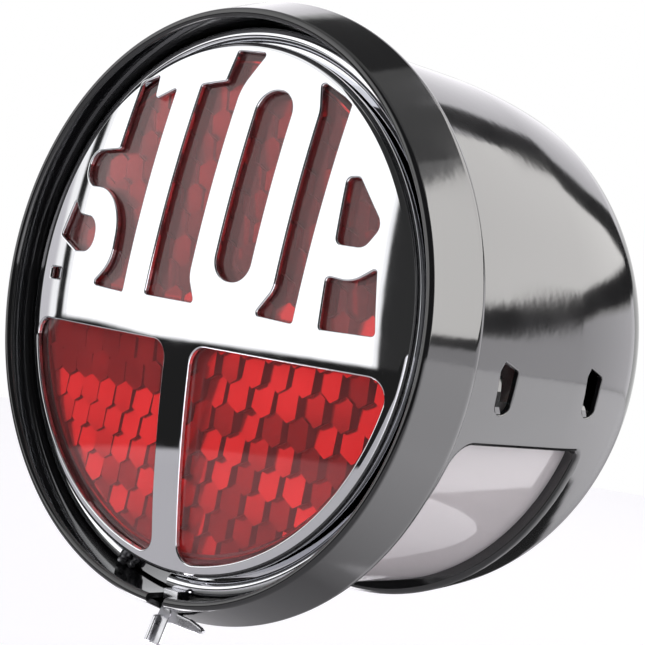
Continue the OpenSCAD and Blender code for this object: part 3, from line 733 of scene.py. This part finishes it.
# Where a cell faces, as parts of its normal to the right and up, and how much that varies: behind the word,
# in the right window, and in the top and the rest of the left window
LEAN_LIMIT = 0.28
SHADE_Y = 3
LEFT_TOP_Y = -15
SHADE_AIM = ((0, -0.1), 0.05)
RIGHT_AIM = ((-0.04, 0.05), 0.08)
LEFT_TOP_AIM = ((0, -0.09), 0.055)
LEFT_AIM = ((0, 0.07), 0.055)
# Material slots of the sheet, and how bright the cells behind the word are beside the others: the darker copy
# of the red that they take is painted shade, standing in for the grille's shadow on them
# The WALL slot is a much darker copy of the red: painted shade on the steep bars and the cells' walls
LIT, WALL, PAINTED_SHADE = 0, 1, 2
PAINTED_SHADE_LEVEL = 0.3


def lens_face():
    """Smooth dome with its wall and flange"""
    big = DOME_R - LENS_DROP
    a = math.degrees(math.asin((LENS_EDGE_R - LENS_BEND) / (big - LENS_BEND)))
    c = (LENS_EDGE_R - LENS_BEND, DOME_C + (big - LENS_BEND) * math.cos(math.radians(a)))
    wall = LENS_EDGE_R - LENS_SHELL_T
    inner_big = big - LENS_SHELL_T
    inner_a = math.degrees(math.asin(wall / inner_big))
    inner_z = DOME_C + inner_big * math.cos(math.radians(inner_a))
    skin = Skin()
    skin.lathe([
        arc((0, DOME_C), big, 90, 90 - a, 24),
        arc(c, LENS_BEND, 90 - a, 0, 8),
        *lines([(LENS_EDGE_R, c[1]), (LENS_EDGE_R, FLANGE_Z), (FLANGE_R, FLANGE_Z), (FLANGE_R, LENS_BACK_Z),
                (wall, LENS_BACK_Z), (wall, inner_z)], -1),
        arc((0, DOME_C), inner_big, 90 - inner_a, 90, 20, -1),
    ], steps=240)
    return skin.build("lens_face")


def clip(polygon, radius):
    """Part of a polygon inside a circle about the axis"""
    out = []
    for i in range(len(polygon)):
        a, b = Vector(polygon[i - 1]), Vector(polygon[i])
        a_in, b_in = a.length <= radius, b.length <= radius
        if a_in != b_in:
            d = b - a
            p, q, k = d.dot(d), 2 * a.dot(d), a.dot(a) - radius * radius
            root = math.sqrt(max(q * q - 4 * p * k, 0))
            t = next(t for t in ((-q - root) / (2 * p), (-q + root) / (2 * p)) if -1e-9 <= t <= 1 + 1e-9)
            out.append(tuple(a + d * t))
        if b_in:
            out.append(tuple(b))
    return out


def split(polygon, x):
    """Parts of a polygon to the left and to the right of an upright line"""
    parts = ([], [])
    for i in range(len(polygon)):
        a, b = polygon[i - 1], polygon[i]
        if (a[0] < x) != (b[0] < x):
            t = (x - a[0]) / (b[0] - a[0])
            for part in parts:
                part.append((x, a[1] + (b[1] - a[1]) * t))
        parts[0 if b[0] < x else 1].append(b)
    return parts


def cell_aim(x, y):
    if y > SHADE_Y:
        return SHADE_AIM
    if x > 0:
        return RIGHT_AIM
    return LEFT_TOP_AIM if y > LEFT_TOP_Y else LEFT_AIM


def prism_cell(skin, cx, cy, outer, rng):
    """Leaning front of a cell with a steep bar along its right-hand flat, its walls and its back"""
    (aim, spread), dome = cell_aim(cx, cy), dome_normal(cx, cy)
    lean = [a - d + rng.uniform(-spread, spread) for a, d in zip(aim, dome)]
    lean = [max(-LEAN_LIMIT, min(LEAN_LIMIT, part)) for part in lean]
    middle = PRISM_DROP + (abs(lean[0]) + abs(lean[1])) * CELL * CELL_LEAN_SINK
    bar_at = cx + CELL / 2 - CELL_BAR

    def front(x, y):
        slope = max(0, (x - bar_at) / CELL_BAR)
        return on_dome(x, y, middle + lean[0] * (x - cx) + lean[1] * (y - cy) + CELL_BAR_SINK * slope)

    top, bar = split(outer, bar_at)
    # Cells behind the word take the darker copy of the red: painted shade for the grille's shadow
    for slot, part in ((PAINTED_SHADE if cy > SHADE_Y else LIT, top), (WALL, bar)):
        if len(part) >= 3:
            skin.slot = slot
            skin.face([front(*p) for p in part], [dome] * len(part))
    # The steep bars above and these walls take the dark red of the WALL slot: painted shade
    skin.slot = WALL
    for a, b in zip(outer[-1:] + outer, outer):
        skin.face([front(*a), front(*b), on_dome(*b, CELL_BACK), on_dome(*a, CELL_BACK)],
                  [(b[1] - a[1], a[0] - b[0], 0)] * 4)
    skin.face([on_dome(*p, CELL_BACK) for p in outer], [tuple(-c for c in dome)] * len(outer))


def lens_prisms():
    """Sheet of six-sided cells behind the smooth dome, with the wall round it"""
    rng = random.Random(CELL_SEED)
    skin = Skin()
    row, big = CELL * math.sqrt(3) / 2, CELL / math.sqrt(3)
    count = math.ceil(PRISM_R / row) + 1
    hexagon = [(big * c, big * s) for c, s in (cos_sin(30 + 60 * k) for k in range(6))]
    for j in range(-count, count + 1):
        for i in range(-count, count + 1):
            cx, cy = (i + 0.5 * (j % 2)) * CELL, j * row
            outer = clip([(cx + x, cy + y) for x, y in hexagon], PRISM_R)
            if len(outer) >= 3:
                prism_cell(skin, cx, cy, outer, rng)
    skin.slot = LIT
    top, inner = on_dome(PRISM_R, 0, PRISM_DROP)[2], PRISM_R - PRISM_WALL
    skin.lathe(lines([(PRISM_R, LENS_BACK_Z), (PRISM_R, top), (inner, top), (inner, LENS_BACK_Z),
                      (PRISM_R, LENS_BACK_Z)]), steps=120)
    obj = skin.build("lens_prisms", smooth=False)
    # The third material is a darker copy of the red: painted shade for the cells behind the word
    for mat in (prism_red("prism_red", 1), prism_wall_shade(), prism_red("prism_painted_shade", PAINTED_SHADE_LEVEL)):
        obj.data.materials.append(mat)
    for polygon, slot in zip(obj.data.polygons, skin.slots):
        polygon.material_index = slot
    return obj


# Retaining ring and its finger tab

RING_MID_R = BORE_R - RING_CLEAR - RING_W / 2
RING_BACK_Z = FLANGE_Z + GRILLE_T


def ring_runs():
    """Section of the ring's channel, open to the back"""
    outer = RING_W / 2
    inner = outer - RING_T
    c = (RING_MID_R, RING_TOP - outer)

    def wall(r):
        return [(RING_MID_R + r, RING_BACK_Z), (RING_MID_R + r, c[1])]

    return [line(*wall(outer)), arc(c, outer, 0, 180, 18),
            *lines([*wall(-outer)[::-1], *wall(-inner)]), arc(c, inner, 180, 0, 14, -1),
            *lines([*wall(inner)[::-1], wall(outer)[0]])]


def retaining_ring():
    skin = Skin()
    runs = ring_runs()
    skin.lathe(runs, RING_END_A, 360 - RING_GAP_A, 360)
    outline = [p for run in runs for p in run[:-1]]
    for a, way in ((RING_END_A, -1), (RING_END_A - RING_GAP_A, 1)):
        c, s = cos_sin(a)
        skin.fill(outline, lambda r, z, c=c, s=s: (r * c, r * s, z), (-s * way, c * way, 0))
    return skin.build("retaining_ring_channel")


# Finger tab: a stamped plate that stands out from the ring's end through the notch. Its points are given
# as (distance from the lamp's axis, distance to the right of the middle of the notch).
FINGER_Z = RING_TOP + 0.8
FINGER_T = 0.8
FINGER_FRONT_Z = FINGER_Z + FINGER_T
NECK_R = 51.3
NECK_HALF = 1.9
NECK = [(NECK_R, -NECK_HALF), (54.2, -NECK_HALF), (56.2, -2.7), (57.3, -2.6), (57.2, 0.4), (57.1, 0.9),
        (57.4, 5.0), (57.5, 8.2), (57.2, 9.0), (56.9, 9.2), (56.4, 8.5), (55.5, 5.6), (55.2, 2.4),
        (54.0, NECK_HALF), (NECK_R, NECK_HALF)]
FOOT = [(0, -NECK_HALF), (0.9, -NECK_HALF), (0.9, NECK_HALF), (0, NECK_HALF)]
FOOT_Z = RING_TOP - 1.2
FOOT_T = 2.2
RECESS = [(56.0, 2.4), (56.1, 5.6), (56.7, 8.0), (57.0, 8.2), (57.1, 7.8), (57.0, 4.9), (56.6, 2.6)]
RECESS_Z = FINGER_FRONT_Z - 0.4
PITS_Z = RECESS_Z - 0.02
PITS_T = 0.2
# Weld spots on the plate: height, and for each its place, radius, sides, thickness and bevel
SPOT_Z = FINGER_FRONT_Z - 0.1
SPOTS = ((55.5, -0.2, 1.0, 24, 0.3, 0.14), (56.75, -0.55, 0.3, 12, 0.22, 0.08),
         (56.75, 0.05, 0.36, 12, 0.22, 0.08))
LEG_FROM = 56.4
LEG_LEN = 5.3
LEG_LEAN = 20
LEG_LEFT = -2.7
LEG_RIGHT = 0.3
LEG_BEVEL = 0.2
FLANGE_W = 1.0
# Lumps of weld on the ring's other end: distance from the ring's middle, degrees past its end, depth, radius
LUMPS = ((0.6, 0.8, -0.9, 1.5), (-0.5, 1.3, -0.6, 1.2), (1.0, 2.6, -1.4, 1.0), (-0.1, 3.2, -1.6, 0.9))
# Size of a lump without its noise, and the grain and share of the coarse and the fine noise
LUMP_CORE = 0.75
LUMP_NOISE = ((1.6, 0.45), (5, 0.2))


def plate_piece(name, outline, place, thick, bevel=0.15):
    """Flat plate with soft edges, from its outline in its own plane"""
    bm = bmesh.new()
    face = bm.faces.new([bm.verts.new((x, y, 0)) for x, y in outline])
    push(bm, [face], (0, 0, thick))
    bmesh.ops.recalc_face_normals(bm, faces=bm.faces)
    bmesh.ops.bevel(bm, geom=bm.edges[:], offset=bevel, segments=3, profile=0.5, affect="EDGES",
                    clamp_overlap=True)
    return soften(from_bmesh(name, bm, place))


def push(bm, faces, way):
    """Gives faces thickness"""
    solid = bmesh.ops.extrude_face_region(bm, geom=faces)
    moved = [v for v in solid["geom"] if isinstance(v, bmesh.types.BMVert)]
    bmesh.ops.translate(bm, verts=moved, vec=way)


def basis(origin, x_axis, y_axis):
    """Matrix that places a plane by its origin and two directions"""
    x, y = Vector(x_axis).normalized(), Vector(y_axis).normalized()
    z = x.cross(y)
    return Matrix((*((x[k], y[k], z[k], origin[k]) for k in range(3)), (0, 0, 0, 1)))


def finger_tab():
    c, s = cos_sin(NOTCH_A)
    out, side, up = Vector((c, s, 0)), Vector((-s, c, 0)), Vector((0, 0, 1))

    def at(r, t, z):
        return basis(out * r + side * t + up * z, out, side)

    plate = plate_piece("finger_plate", NECK, at(0, 0, FINGER_Z), FINGER_T)
    boolean(plate, [plate_piece("recess", RECESS, at(0, 0, RECESS_Z), thick=1.0, bevel=0.05)])
    pieces = [plate, plate_piece("finger_foot", FOOT, at(NECK_R, 0, FOOT_Z), FOOT_T)]
    for r, t, radius, sides, thick, bevel in SPOTS:
        pieces.append(plate_piece("finger_weld", circle(radius, sides), at(r, t, SPOT_Z), thick, bevel))
    c, s = cos_sin(LEG_LEAN)
    along, face = out * c + up * s, up * c - out * s
    root = out * LEG_FROM + up * FINGER_Z
    leg = [(0, LEG_LEFT), (LEG_LEN - 0.5, LEG_LEFT), (LEG_LEN, LEG_LEFT + 0.5),
           (LEG_LEN + 0.1, LEG_RIGHT - 0.5), (LEG_LEN - 0.3, LEG_RIGHT), (0, LEG_RIGHT)]
    high = FLANGE_W + FINGER_T
    flange = [(-0.4, 0), (LEG_LEN - 0.2, 0), (LEG_LEN - 0.2, high), (0.5, high)]
    pieces.append(plate_piece("finger_leg", leg, basis(root, along, side), FINGER_T, LEG_BEVEL))
    corner = root + side * (LEG_LEFT + FINGER_T)
    pieces.append(plate_piece("finger_flange", flange, basis(corner, along, face), FINGER_T, LEG_BEVEL))
    tab = join("finger_tab", pieces)
    rough = [rough_patch("finger_pits", RECESS, at(0, 0, PITS_Z), spacing=0.3, height=0.32, seed=5)]
    for k, (r, turn, z, size) in enumerate(LUMPS):
        c, s = cos_sin(RING_END_A - RING_GAP_A + turn)
        centre = ((RING_MID_R + r) * c, (RING_MID_R + r) * s, RING_TOP + z)
        rough.append(weld_lump("ring_weld", centre, size, k))
    return tab, join("ring_weld_texture", rough)


def rough_patch(name, outline, place, spacing, height, seed):
    """Uneven skin over a flat outline"""
    points, tris = triangulate([outline], [], spacing, spacing * 0.4)
    bm = bmesh.new()
    rng = random.Random(seed)
    verts = [bm.verts.new((p.x, p.y, rng.uniform(0, height))) for p in points]
    for tri in tris:
        bm.faces.new([verts[k] for k in tri])
    push(bm, bm.faces[:], (0, 0, -PITS_T))
    return from_bmesh(name, bm, place)


def weld_lump(name, centre, size, seed):
    """Small uneven lump of weld"""
    bm = bmesh.new()
    bmesh.ops.create_icosphere(bm, subdivisions=3, radius=size)
    shift = Vector((seed * 7.3, 1.7, 4.1))
    for v in bm.verts:
        grow = LUMP_CORE
        for grain, share in LUMP_NOISE:
            grow += share * mathutils_noise.noise(v.co * grain / size + shift)
        v.co *= grow
    return from_bmesh(name, bm, Matrix.Translation(centre))


def join(name, pieces):
    """Makes one object of several"""
    bm = bmesh.new()
    for piece in pieces:
        bm.from_mesh(piece.data)
        bpy.data.objects.remove(piece)
    return soften(from_bmesh(name, bm))


# Materials

def node(tree, kind, **inputs):
    """New shader node; an input's name has _ for a space, and its value is a socket or a constant"""
    new = tree.nodes.new("ShaderNode" + kind)
    for name, value in inputs.items():
        plug(tree, new.inputs[name.replace("_", " ")], value)
    return new


def plug(tree, socket, value):
    if isinstance(value, bpy.types.NodeSocket):
        tree.links.new(value, socket)
    else:
        socket.default_value = value


def noise(tree, scale, detail=3.0):
    """Noise over the object's own place, with features 1/scale metres wide"""
    place = node(tree, "TexCoord").outputs["Object"]
    return node(tree, "TexNoise", Scale=scale, Detail=detail, Roughness=0.5, Vector=place).outputs["Fac"]


def ramp(tree, scale, places, values):
    """Runs from one value or colour to another, between two places of the noise"""
    mix = node(tree, "ValToRGB", Fac=noise(tree, scale))
    for element, place, value in zip(mix.color_ramp.elements, places, values):
        element.position = place
        element.color = (value, value, value, 1) if isinstance(value, float) else (*value, 1)
    return mix.outputs["Color"]


def material(name, color, rough, scale=300, places=(0.3, 0.7), lumps=None, **inputs):
    """Principled material. Colour and roughness are constants, or pairs between which noise runs, the
    roughness with the given scale; a pair of colours has its own scale as its third item. Lumps are the
    scale, detail, height and strength of a bump."""
    mat = bpy.data.materials.new(name)
    mat.use_nodes = True
    tree = mat.node_tree
    shader = tree.nodes["Principled BSDF"]
    if isinstance(color[0], tuple):
        color = ramp(tree, color[2], places, color[:2])
    else:
        color = (*color, 1)
    if isinstance(rough, tuple):
        rough = ramp(tree, scale, places, rough)
    plug(tree, shader.inputs["Base Color"], color)
    plug(tree, shader.inputs["Roughness"], rough)
    for key, value in inputs.items():
        shader.inputs[key.replace("_", " ")].default_value = value
    if lumps:
        bumpy = node(tree, "Bump", Height=noise(tree, *lumps[:2]), Distance=lumps[2], Strength=lumps[3])
        tree.links.new(bumpy.outputs["Normal"], shader.inputs["Normal"])
    return mat


def black_enamel():
    return material("black_enamel", (0.010, 0.010, 0.011), (0.06, 0.10), 90, IOR=1.8,
                    lumps=(500, 1.0, 0.00002, 0.3))


def chrome():
    return material("chrome_plate", (0.86, 0.865, 0.89), (0.015, 0.045), 160, (0.35, 0.75), Metallic=1.0)


def weld_steel():
    return material("weld_steel", ((0.05, 0.05, 0.055), (0.42, 0.42, 0.44), 900), (0.3, 0.6), 700,
                    (0.33, 0.68), lumps=(1500, 3.0, 0.0001, 0.6), Metallic=0.8)


def clear_red():
    return material("clear_red_acrylic", (0.95, 0.36, 0.37), (0.01, 0.04), 200, (0.4, 0.8), IOR=1.49,
                    Transmission_Weight=0.94, Specular_IOR_Level=0.15, Coat_Weight=0.08, Coat_Roughness=0.16,
                    Coat_IOR=1.4)


def prism_red(name, level):
    # A level below 1 makes a darker copy of the same red, which is painted shade
    dark, light = (tuple(c * level for c in color) for color in ((0.80, 0.08, 0.085), (0.98, 0.16, 0.165)))
    return material(name, (dark, light, 110), 0.16, Metallic=0.75)


# Dark copy of the prism red for the cells' walls and steep bars: painted shade
def prism_wall_shade():
    return material("prism_wall_painted_shade", ((0.06, 0.002, 0.004), (0.16, 0.004, 0.007), 110), 0.3)


def clear_sheet():
    return material("clear_sheet", (0.98, 0.93, 0.95), (0.01, 0.05), 200, (0.4, 0.8), IOR=1.49,
                    Transmission_Weight=0.3)


def bulb_glass():
    return material("bulb_glass", (0.99, 0.99, 1.0), (0.0, 0.02), 100, (0.5, 0.8), Transmission_Weight=1.0)


def plain_metal(name, color, low, high, scale=300):
    return material(name, color, (low, high), scale, Metallic=1.0, lumps=(scale * 3, 2.0, 0.00003, 0.3))


def dull(name, color, rough):
    return material(name, color, (rough - 0.08, rough + 0.08), lumps=(1200, 2.0, 0.00005, 0.4))


def dress(obj, mat):
    """Gives a piece its material"""
    obj.data.materials.clear()
    obj.data.materials.append(mat)


def dress_nodes(mat, *names):
    """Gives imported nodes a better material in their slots"""
    for name in names:
        obj = frame["nodes"][name]
        for slot in obj.material_slots:
            slot.material = mat
        if not obj.material_slots:
            obj.data.materials.append(mat)


def stand_for(piece, body, slot, mat, *nodes):
    """Dresses a piece and says what it rides on and the nodes it stands for; slot, its finish, is not used"""
    if mat:
        dress(piece, mat)
    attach(piece, body)
    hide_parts(*nodes)


# Stage: a pale floor, lit cards and flags on spheres round the lamp, and a white background

STAGE_R = 3.6
FLOOR_DROP = 0.3
FLOOR_R = 3.3
# The floor in reflections: the way in which it is bright, the two nearnesses to it between which that
# begins and is full, and the strength; and what it and the background add for the camera and as light
FLOOR_BRIGHT_WAY = (0.906, 0.423, 0)
FLOOR_BRIGHT_FROM = 0.15
FLOOR_BRIGHT_TO = 0.8
FLOOR_BRIGHT = 1.85
FLOOR_SEEN = 0.5
WORLD_LIGHT = 0.7
CARD_STEPS = 12


def link_math(tree, operation, *values, kind="Math"):
    """Maths node with each input a socket or a constant"""
    new = node(tree, kind)
    new.operation = operation
    for socket, value in zip(new.inputs, values):
        plug(tree, socket, value)
    return new.outputs["Value" if operation == "DOT_PRODUCT" else 0]


def map_range(tree, value, low, high, to_low, to_high, kind="LINEAR"):
    """Socket with a value brought from one range to another"""
    new = node(tree, "MapRange", Value=value, From_Min=low, From_Max=high, To_Min=to_low, To_Max=to_high)
    new.interpolation_type = kind
    return new.outputs["Result"]


def glow(name, strength, color, shares, fade):
    """Glow of a card with round corners, which take the given shares of its width and height; fade is the
    part of a corner's radius over which the edge dims. The strength may run from left to right."""
    mat = bpy.data.materials.new(name)
    mat.use_nodes = True
    tree = mat.node_tree
    tree.nodes.clear()
    place = node(tree, "SeparateXYZ", Vector=node(tree, "UVMap").outputs["UV"])
    left, right = strength if isinstance(strength, tuple) else (strength, strength)
    light = node(tree, "Emission", Color=(*color, 1),
                 Strength=map_range(tree, place.outputs["X"], 0, 1, left, right))
    squares = []
    for axis, share in zip(("X", "Y"), shares):
        value = place.outputs[axis]
        near = link_math(tree, "MINIMUM", value, link_math(tree, "SUBTRACT", 1.0, value))
        edge = map_range(tree, near, 0, share, 1, 0)
        squares.append(link_math(tree, "MULTIPLY", edge, edge))
    reach = link_math(tree, "SQRT", link_math(tree, "ADD", *squares))
    mix = node(tree, "MixShader", Fac=map_range(tree, reach, 1 - fade, 1, 1, 0, "SMOOTHSTEP"))
    for socket, shader in zip(mix.inputs[1:], (node(tree, "BsdfTransparent"), light)):
        tree.links.new(shader.outputs[0], socket)
    node(tree, "OutputMaterial", Surface=mix.outputs[0])
    return mat


def level(el, *azimuths):
    """Card's edge at one elevation"""
    return [(az, el) for az in azimuths]


def raised(edge, rise):
    return [(az, el + rise) for az, el in edge]


def box(az0, az1, el0, el1):
    """Lower and upper edges of a card with four square corners"""
    return level(el0, az0, az1), level(el1, az0, az1)


def card(name, edges, strength, color=(1, 1, 1), radius=STAGE_R, soft=2.0, corner=None):
    """Part of a sphere round the lamp between two lines of (azimuth, elevation); azimuth 0 is +X, 90 is +Y"""
    low, high = edges
    corner = max(corner or soft, soft)
    middle = [Vector(((a[0] + b[0]) / 2, (a[1] + b[1]) / 2)) for a, b in zip(low, high)]
    width = sum((b - a).length for a, b in zip(middle, middle[1:]))
    height = sum(math.dist(a, b) for a, b in zip(low, high)) / len(low)
    columns, done = [], 0
    for k in range(len(low) - 1):
        length = (middle[k + 1] - middle[k]).length
        for i in range(CARD_STEPS + (k == len(low) - 2)):
            t = i / CARD_STEPS
            ends = [Vector(edge[k]).lerp(Vector(edge[k + 1]), t) for edge in (low, high)]
            columns.append(((done + length * t) / width, ends))
        done += length
    bm = bmesh.new()
    layer = bm.loops.layers.uv.new("UVMap")
    verts = {}
    for c, (_, ends) in enumerate(columns):
        for i in range(CARD_STEPS + 1):
            az, el = (math.radians(v) for v in ends[0].lerp(ends[1], i / CARD_STEPS))
            way = Vector((math.cos(el) * math.cos(az), math.cos(el) * math.sin(az), math.sin(el)))
            verts[c, i] = bm.verts.new(radius * way)
    for c in range(len(columns) - 1):
        for i in range(CARD_STEPS):
            spots = [(c, i), (c + 1, i), (c + 1, i + 1), (c, i + 1)]
            face = bm.faces.new([verts[s] for s in spots])
            for loop, s in zip(face.loops, spots):
                loop[layer].uv = (columns[s[0]][0], s[1] / CARD_STEPS)
    obj = from_bmesh(name, bm)
    shares = [min(0.5, corner / size) for size in (width, height)]
    dress(obj, glow(name, strength, color, shares, soft / corner))
    obj.visible_camera = False
    obj.visible_shadow = False
    return obj


def flag(*args, **kwargs):
    """Card that is seen in reflections only, and lights nothing"""
    card(*args, **kwargs).visible_diffuse = False


def ray_kind(tree, *kinds):
    """1 for rays of the given kinds and 0 for others"""
    rays = node(tree, "LightPath")
    found = rays.outputs[kinds[0]]
    for kind in kinds[1:]:
        found = link_math(tree, "MAXIMUM", found, rays.outputs[kind])
    return found


def floor():
    """Pale floor that the camera sees as white; in reflections it is bright on the lamp's right-hand side"""
    bm = bmesh.new()
    bmesh.ops.create_circle(bm, cap_ends=True, segments=128, radius=FLOOR_R)
    obj = from_bmesh("floor", bm)
    obj.location = (0, 0, -FLOOR_DROP)
    mat = material("pale_floor", (0.56, 0.55, 0.58), 0.8)
    tree = mat.node_tree
    seen = link_math(tree, "MULTIPLY", ray_kind(tree, "Is Camera Ray", "Is Transmission Ray"), FLOOR_SEEN)
    way = link_math(tree, "NORMALIZE", node(tree, "NewGeometry").outputs["Position"], kind="VectorMath")
    along = link_math(tree, "DOT_PRODUCT", way, FLOOR_BRIGHT_WAY, kind="VectorMath")
    lit = map_range(tree, along, FLOOR_BRIGHT_FROM, FLOOR_BRIGHT_TO, 0, FLOOR_BRIGHT)
    mirrored = link_math(tree, "MULTIPLY", ray_kind(tree, "Is Glossy Ray"), lit)
    light = node(tree, "Emission", Color=(0.98, 0.97, 1, 1), Strength=link_math(tree, "ADD", seen, mirrored))
    add = node(tree, "AddShader")
    for socket, part in zip(add.inputs, (tree.nodes["Principled BSDF"], light)):
        tree.links.new(part.outputs[0], socket)
    tree.links.new(add.outputs[0], tree.nodes["Material Output"].inputs["Surface"])
    dress(obj, mat)


def world():
    """White for the camera, reflections and clear pieces, and a little less as light"""
    scene_world = bpy.data.worlds.new("white_background")
    bpy.context.scene.world = scene_world
    scene_world.use_nodes = True
    tree = scene_world.node_tree
    tree.nodes.clear()
    seen = ray_kind(tree, "Is Camera Ray", "Is Glossy Ray", "Is Transmission Ray")
    back = node(tree, "Background", Color=(1, 1, 1, 1), Strength=map_range(tree, seen, 0, 1, WORLD_LIGHT, 1))
    node(tree, "OutputWorld", Surface=back.outputs[0])


def lights():
    """Lit cards, and flags that only give the dark and bright shapes that gloss black and chrome mirror"""
    lilac, warm = (0.98, 0.96, 1), (1, 0.98, 0.965)
    card("front_softbox", (level(-6, 203, 252.4), level(30, 203, 249.5)), 1.3, soft=0.6)
    card("key_light", box(6, 84, 8, 50), 1.5, warm, radius=3.7, soft=8)
    gap_low = [(2, -3), (17, -1.2), (50, 1.6), (53.8, 2.9), (55.4, 5.6), (58.2, 9.6), (64, 11.2), (88, 12)]
    gap_high = [(2, -2.5), (17, -0.4), (50, 6), (54, 8.2), (56.6, 10.8), (60, 14), (66, 15.2), (88, 16.6)]
    key_high = [(2, 42), (24, 45.5), (33, 51.5), (40, 55.5), (46, 58), (52, 60), (66, 57), (99, 52)]
    flag("key_softbox", (gap_high, key_high), (6.0, 2.7), warm, radius=3.55, soft=1.2, corner=2)
    flag("key_gap", (gap_low, raised(gap_high, 3.4)), (0.25, 0.01), radius=3.1, soft=1.6)
    flag("low_fill", (level(-5.7, *[az for az, _ in gap_low]), raised(gap_low, 0.7)), 1.95, lilac,
         radius=3.25, soft=1)
    edge_near = [(82, 11), (82.5, 17), (83, 21), (84, 25), (82.5, 30), (83.5, 34), (88, 36.6), (93, 38),
                 (97, 40), (106, 43)]
    edge_far = [(97, 10), (96, 17), (95.5, 21), (95.5, 25), (94, 28.5), (95.5, 31), (97, 33.3), (100, 34),
                (105, 34.5), (110, 35.5)]
    flag("key_edge", (edge_near, edge_far), 0.05, radius=3.1, soft=1.6, corner=3)
    rear_high = [(108, 57.5), (120, 50.5), (129, 44), (142, 33)]
    dark_high = [(98, 68), (114, 68), (128, 62), (140, 56), (156, 46)]
    flag("rear_softbox", (level(14, 93, 108, 120, 130, 142), [(93, 58), *rear_high]), 1.6, lilac, soft=3)
    flag("rear_dark", ([(98, 58), *rear_high], dark_high), 0.08, radius=3.3, soft=1.6)
    flag("top_strip", box(66, 91, 58.5, 64.5), 3.4, lilac, radius=3.4, soft=1.4)
    flag("top_flag", box(0, 360, 52, 90), 0.4, radius=3.8, soft=1)
    flag("left_wall", box(150, 200, -4.5, 60), 0.6, lilac, radius=3.7, soft=1)
    flag("front_frame", box(200.8, 202.8, -5, 30), 0.02, radius=3.5, soft=0.6)
    low_high = [(186, -12), (196, -9), (201, -4.6), (203.5, -2.9), (212, -3.1), (222, -3.8), (254, -3.8),
                (300, -3.8)]
    flag("front_low_flag", (level(-15.2, *[az for az, _ in low_high]), low_high), 0.015, radius=1.1,
         soft=0.5, corner=1.5)
    flag("front_flag", (level(-5.5, 252.4, 352), level(60, 247, 352)), 0.03, radius=3.5, soft=0.6)
    under_high = [(66, -25), (74, -25.5), (79.5, -28), (87, -29.5), (97, -28.5), (107.5, -25.5),
                  (113, -21.5), (125, -18)]
    flag("under_flag", (level(-75, 66, 72, 80, 90, 102, 108, 114, 126), under_high), 0.03, radius=0.45,
         soft=1.6)
    flag("under_glow", box(20, 84, -75, -57), 1.8, lilac, radius=0.29, soft=4)
    flag("hem_light", box(150, 215, -62, -42), 7, lilac, radius=0.33, soft=3)


CAMERA_AT = (0.20966, -0.2826, 0.00313)
CAMERA_RIGHT = (0.738, 0.6575, 0.1519)
CAMERA_UP = (-0.1196, -0.0942, 0.9884)
FOCAL_PX = 1618.15
IMAGE_PX = 645
SENSOR = 36


def camera():
    data = bpy.data.cameras.new("camera")
    data.sensor_width = SENSOR
    data.lens = SENSOR * FOCAL_PX / IMAGE_PX
    data.clip_start = 0.01
    right = Vector(CAMERA_RIGHT).normalized()
    up = Vector(CAMERA_UP)
    up = (up - right * up.dot(right)).normalized()
    obj = placed("camera", data)
    obj.matrix_world = basis(CAMERA_AT, right, up)
    bpy.context.scene.camera = obj


def build():
    paint, plate = black_enamel(), chrome()
    tab_plate = plain_metal("tab_plate", (0.72, 0.72, 0.75), 0.2, 0.38)
    for piece in bucket():
        stand_for(piece, "housing", "black_paint", paint, "bucket")
    for piece in grille():
        stand_for(piece, "grille", "chrome", plate, "grille")
    face = lens_face()
    stand_for(face, "lens", "red_lens", clear_red(), "lens")
    face.visible_diffuse = False
    face.visible_shadow = False
    stand_for(lens_prisms(), "lens", "red_lens", None, "lens")
    stand_for(retaining_ring(), "ring", "chrome", plate, "retaining_ring")
    for piece, mat in zip(finger_tab(), (tab_plate, weld_steel())):
        stand_for(piece, "ring", "chrome", mat, "ring_finger_tab")
    dress_nodes(paint, "lens_seat_ring")
    dress_nodes(clear_sheet(), "plate_window")
    dress_nodes(bulb_glass(), "bulb_glass", "bulb_stem")
    dress_nodes(dull("black_rubber", (0.022, 0.022, 0.022), 0.7), "lens_gasket", "wire_grommet")
    dress_nodes(dull("phenolic", (0.07, 0.035, 0.025), 0.45), "socket_contact_carrier", "bulb_cap_insulator")
    dress_nodes(plain_metal("bright_reflector", (0.9, 0.9, 0.88), 0.06, 0.14), "reflector")
    dress_nodes(plain_metal("zinc_plated_steel", (0.62, 0.62, 0.60), 0.28, 0.42), "socket_bracket",
                "bulb_socket_shell", "mounting_bolts", "bolt_flat_washers")
    dress_nodes(plain_metal("spring_steel", (0.40, 0.40, 0.41), 0.25, 0.4), "contact_spring",
                "bolt_lock_washers")
    dress_nodes(plain_metal("brass", (0.72, 0.52, 0.24), 0.2, 0.35), "socket_contacts", "bulb_cap",
                "bulb_cap_pins")
    dress_nodes(plain_metal("solder", (0.62, 0.62, 0.60), 0.35, 0.5), "bulb_cap_contacts")
    dress_nodes(plain_metal("drawn_wire", (0.35, 0.35, 0.36), 0.25, 0.4, 2000), "bulb_support_wires",
                "tail_filament", "stop_filament")
    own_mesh(frame["nodes"]["contact_spring"])


bpy.context.scene.view_settings.view_transform = "Standard"
camera()
world()
floor()
lights()
build()
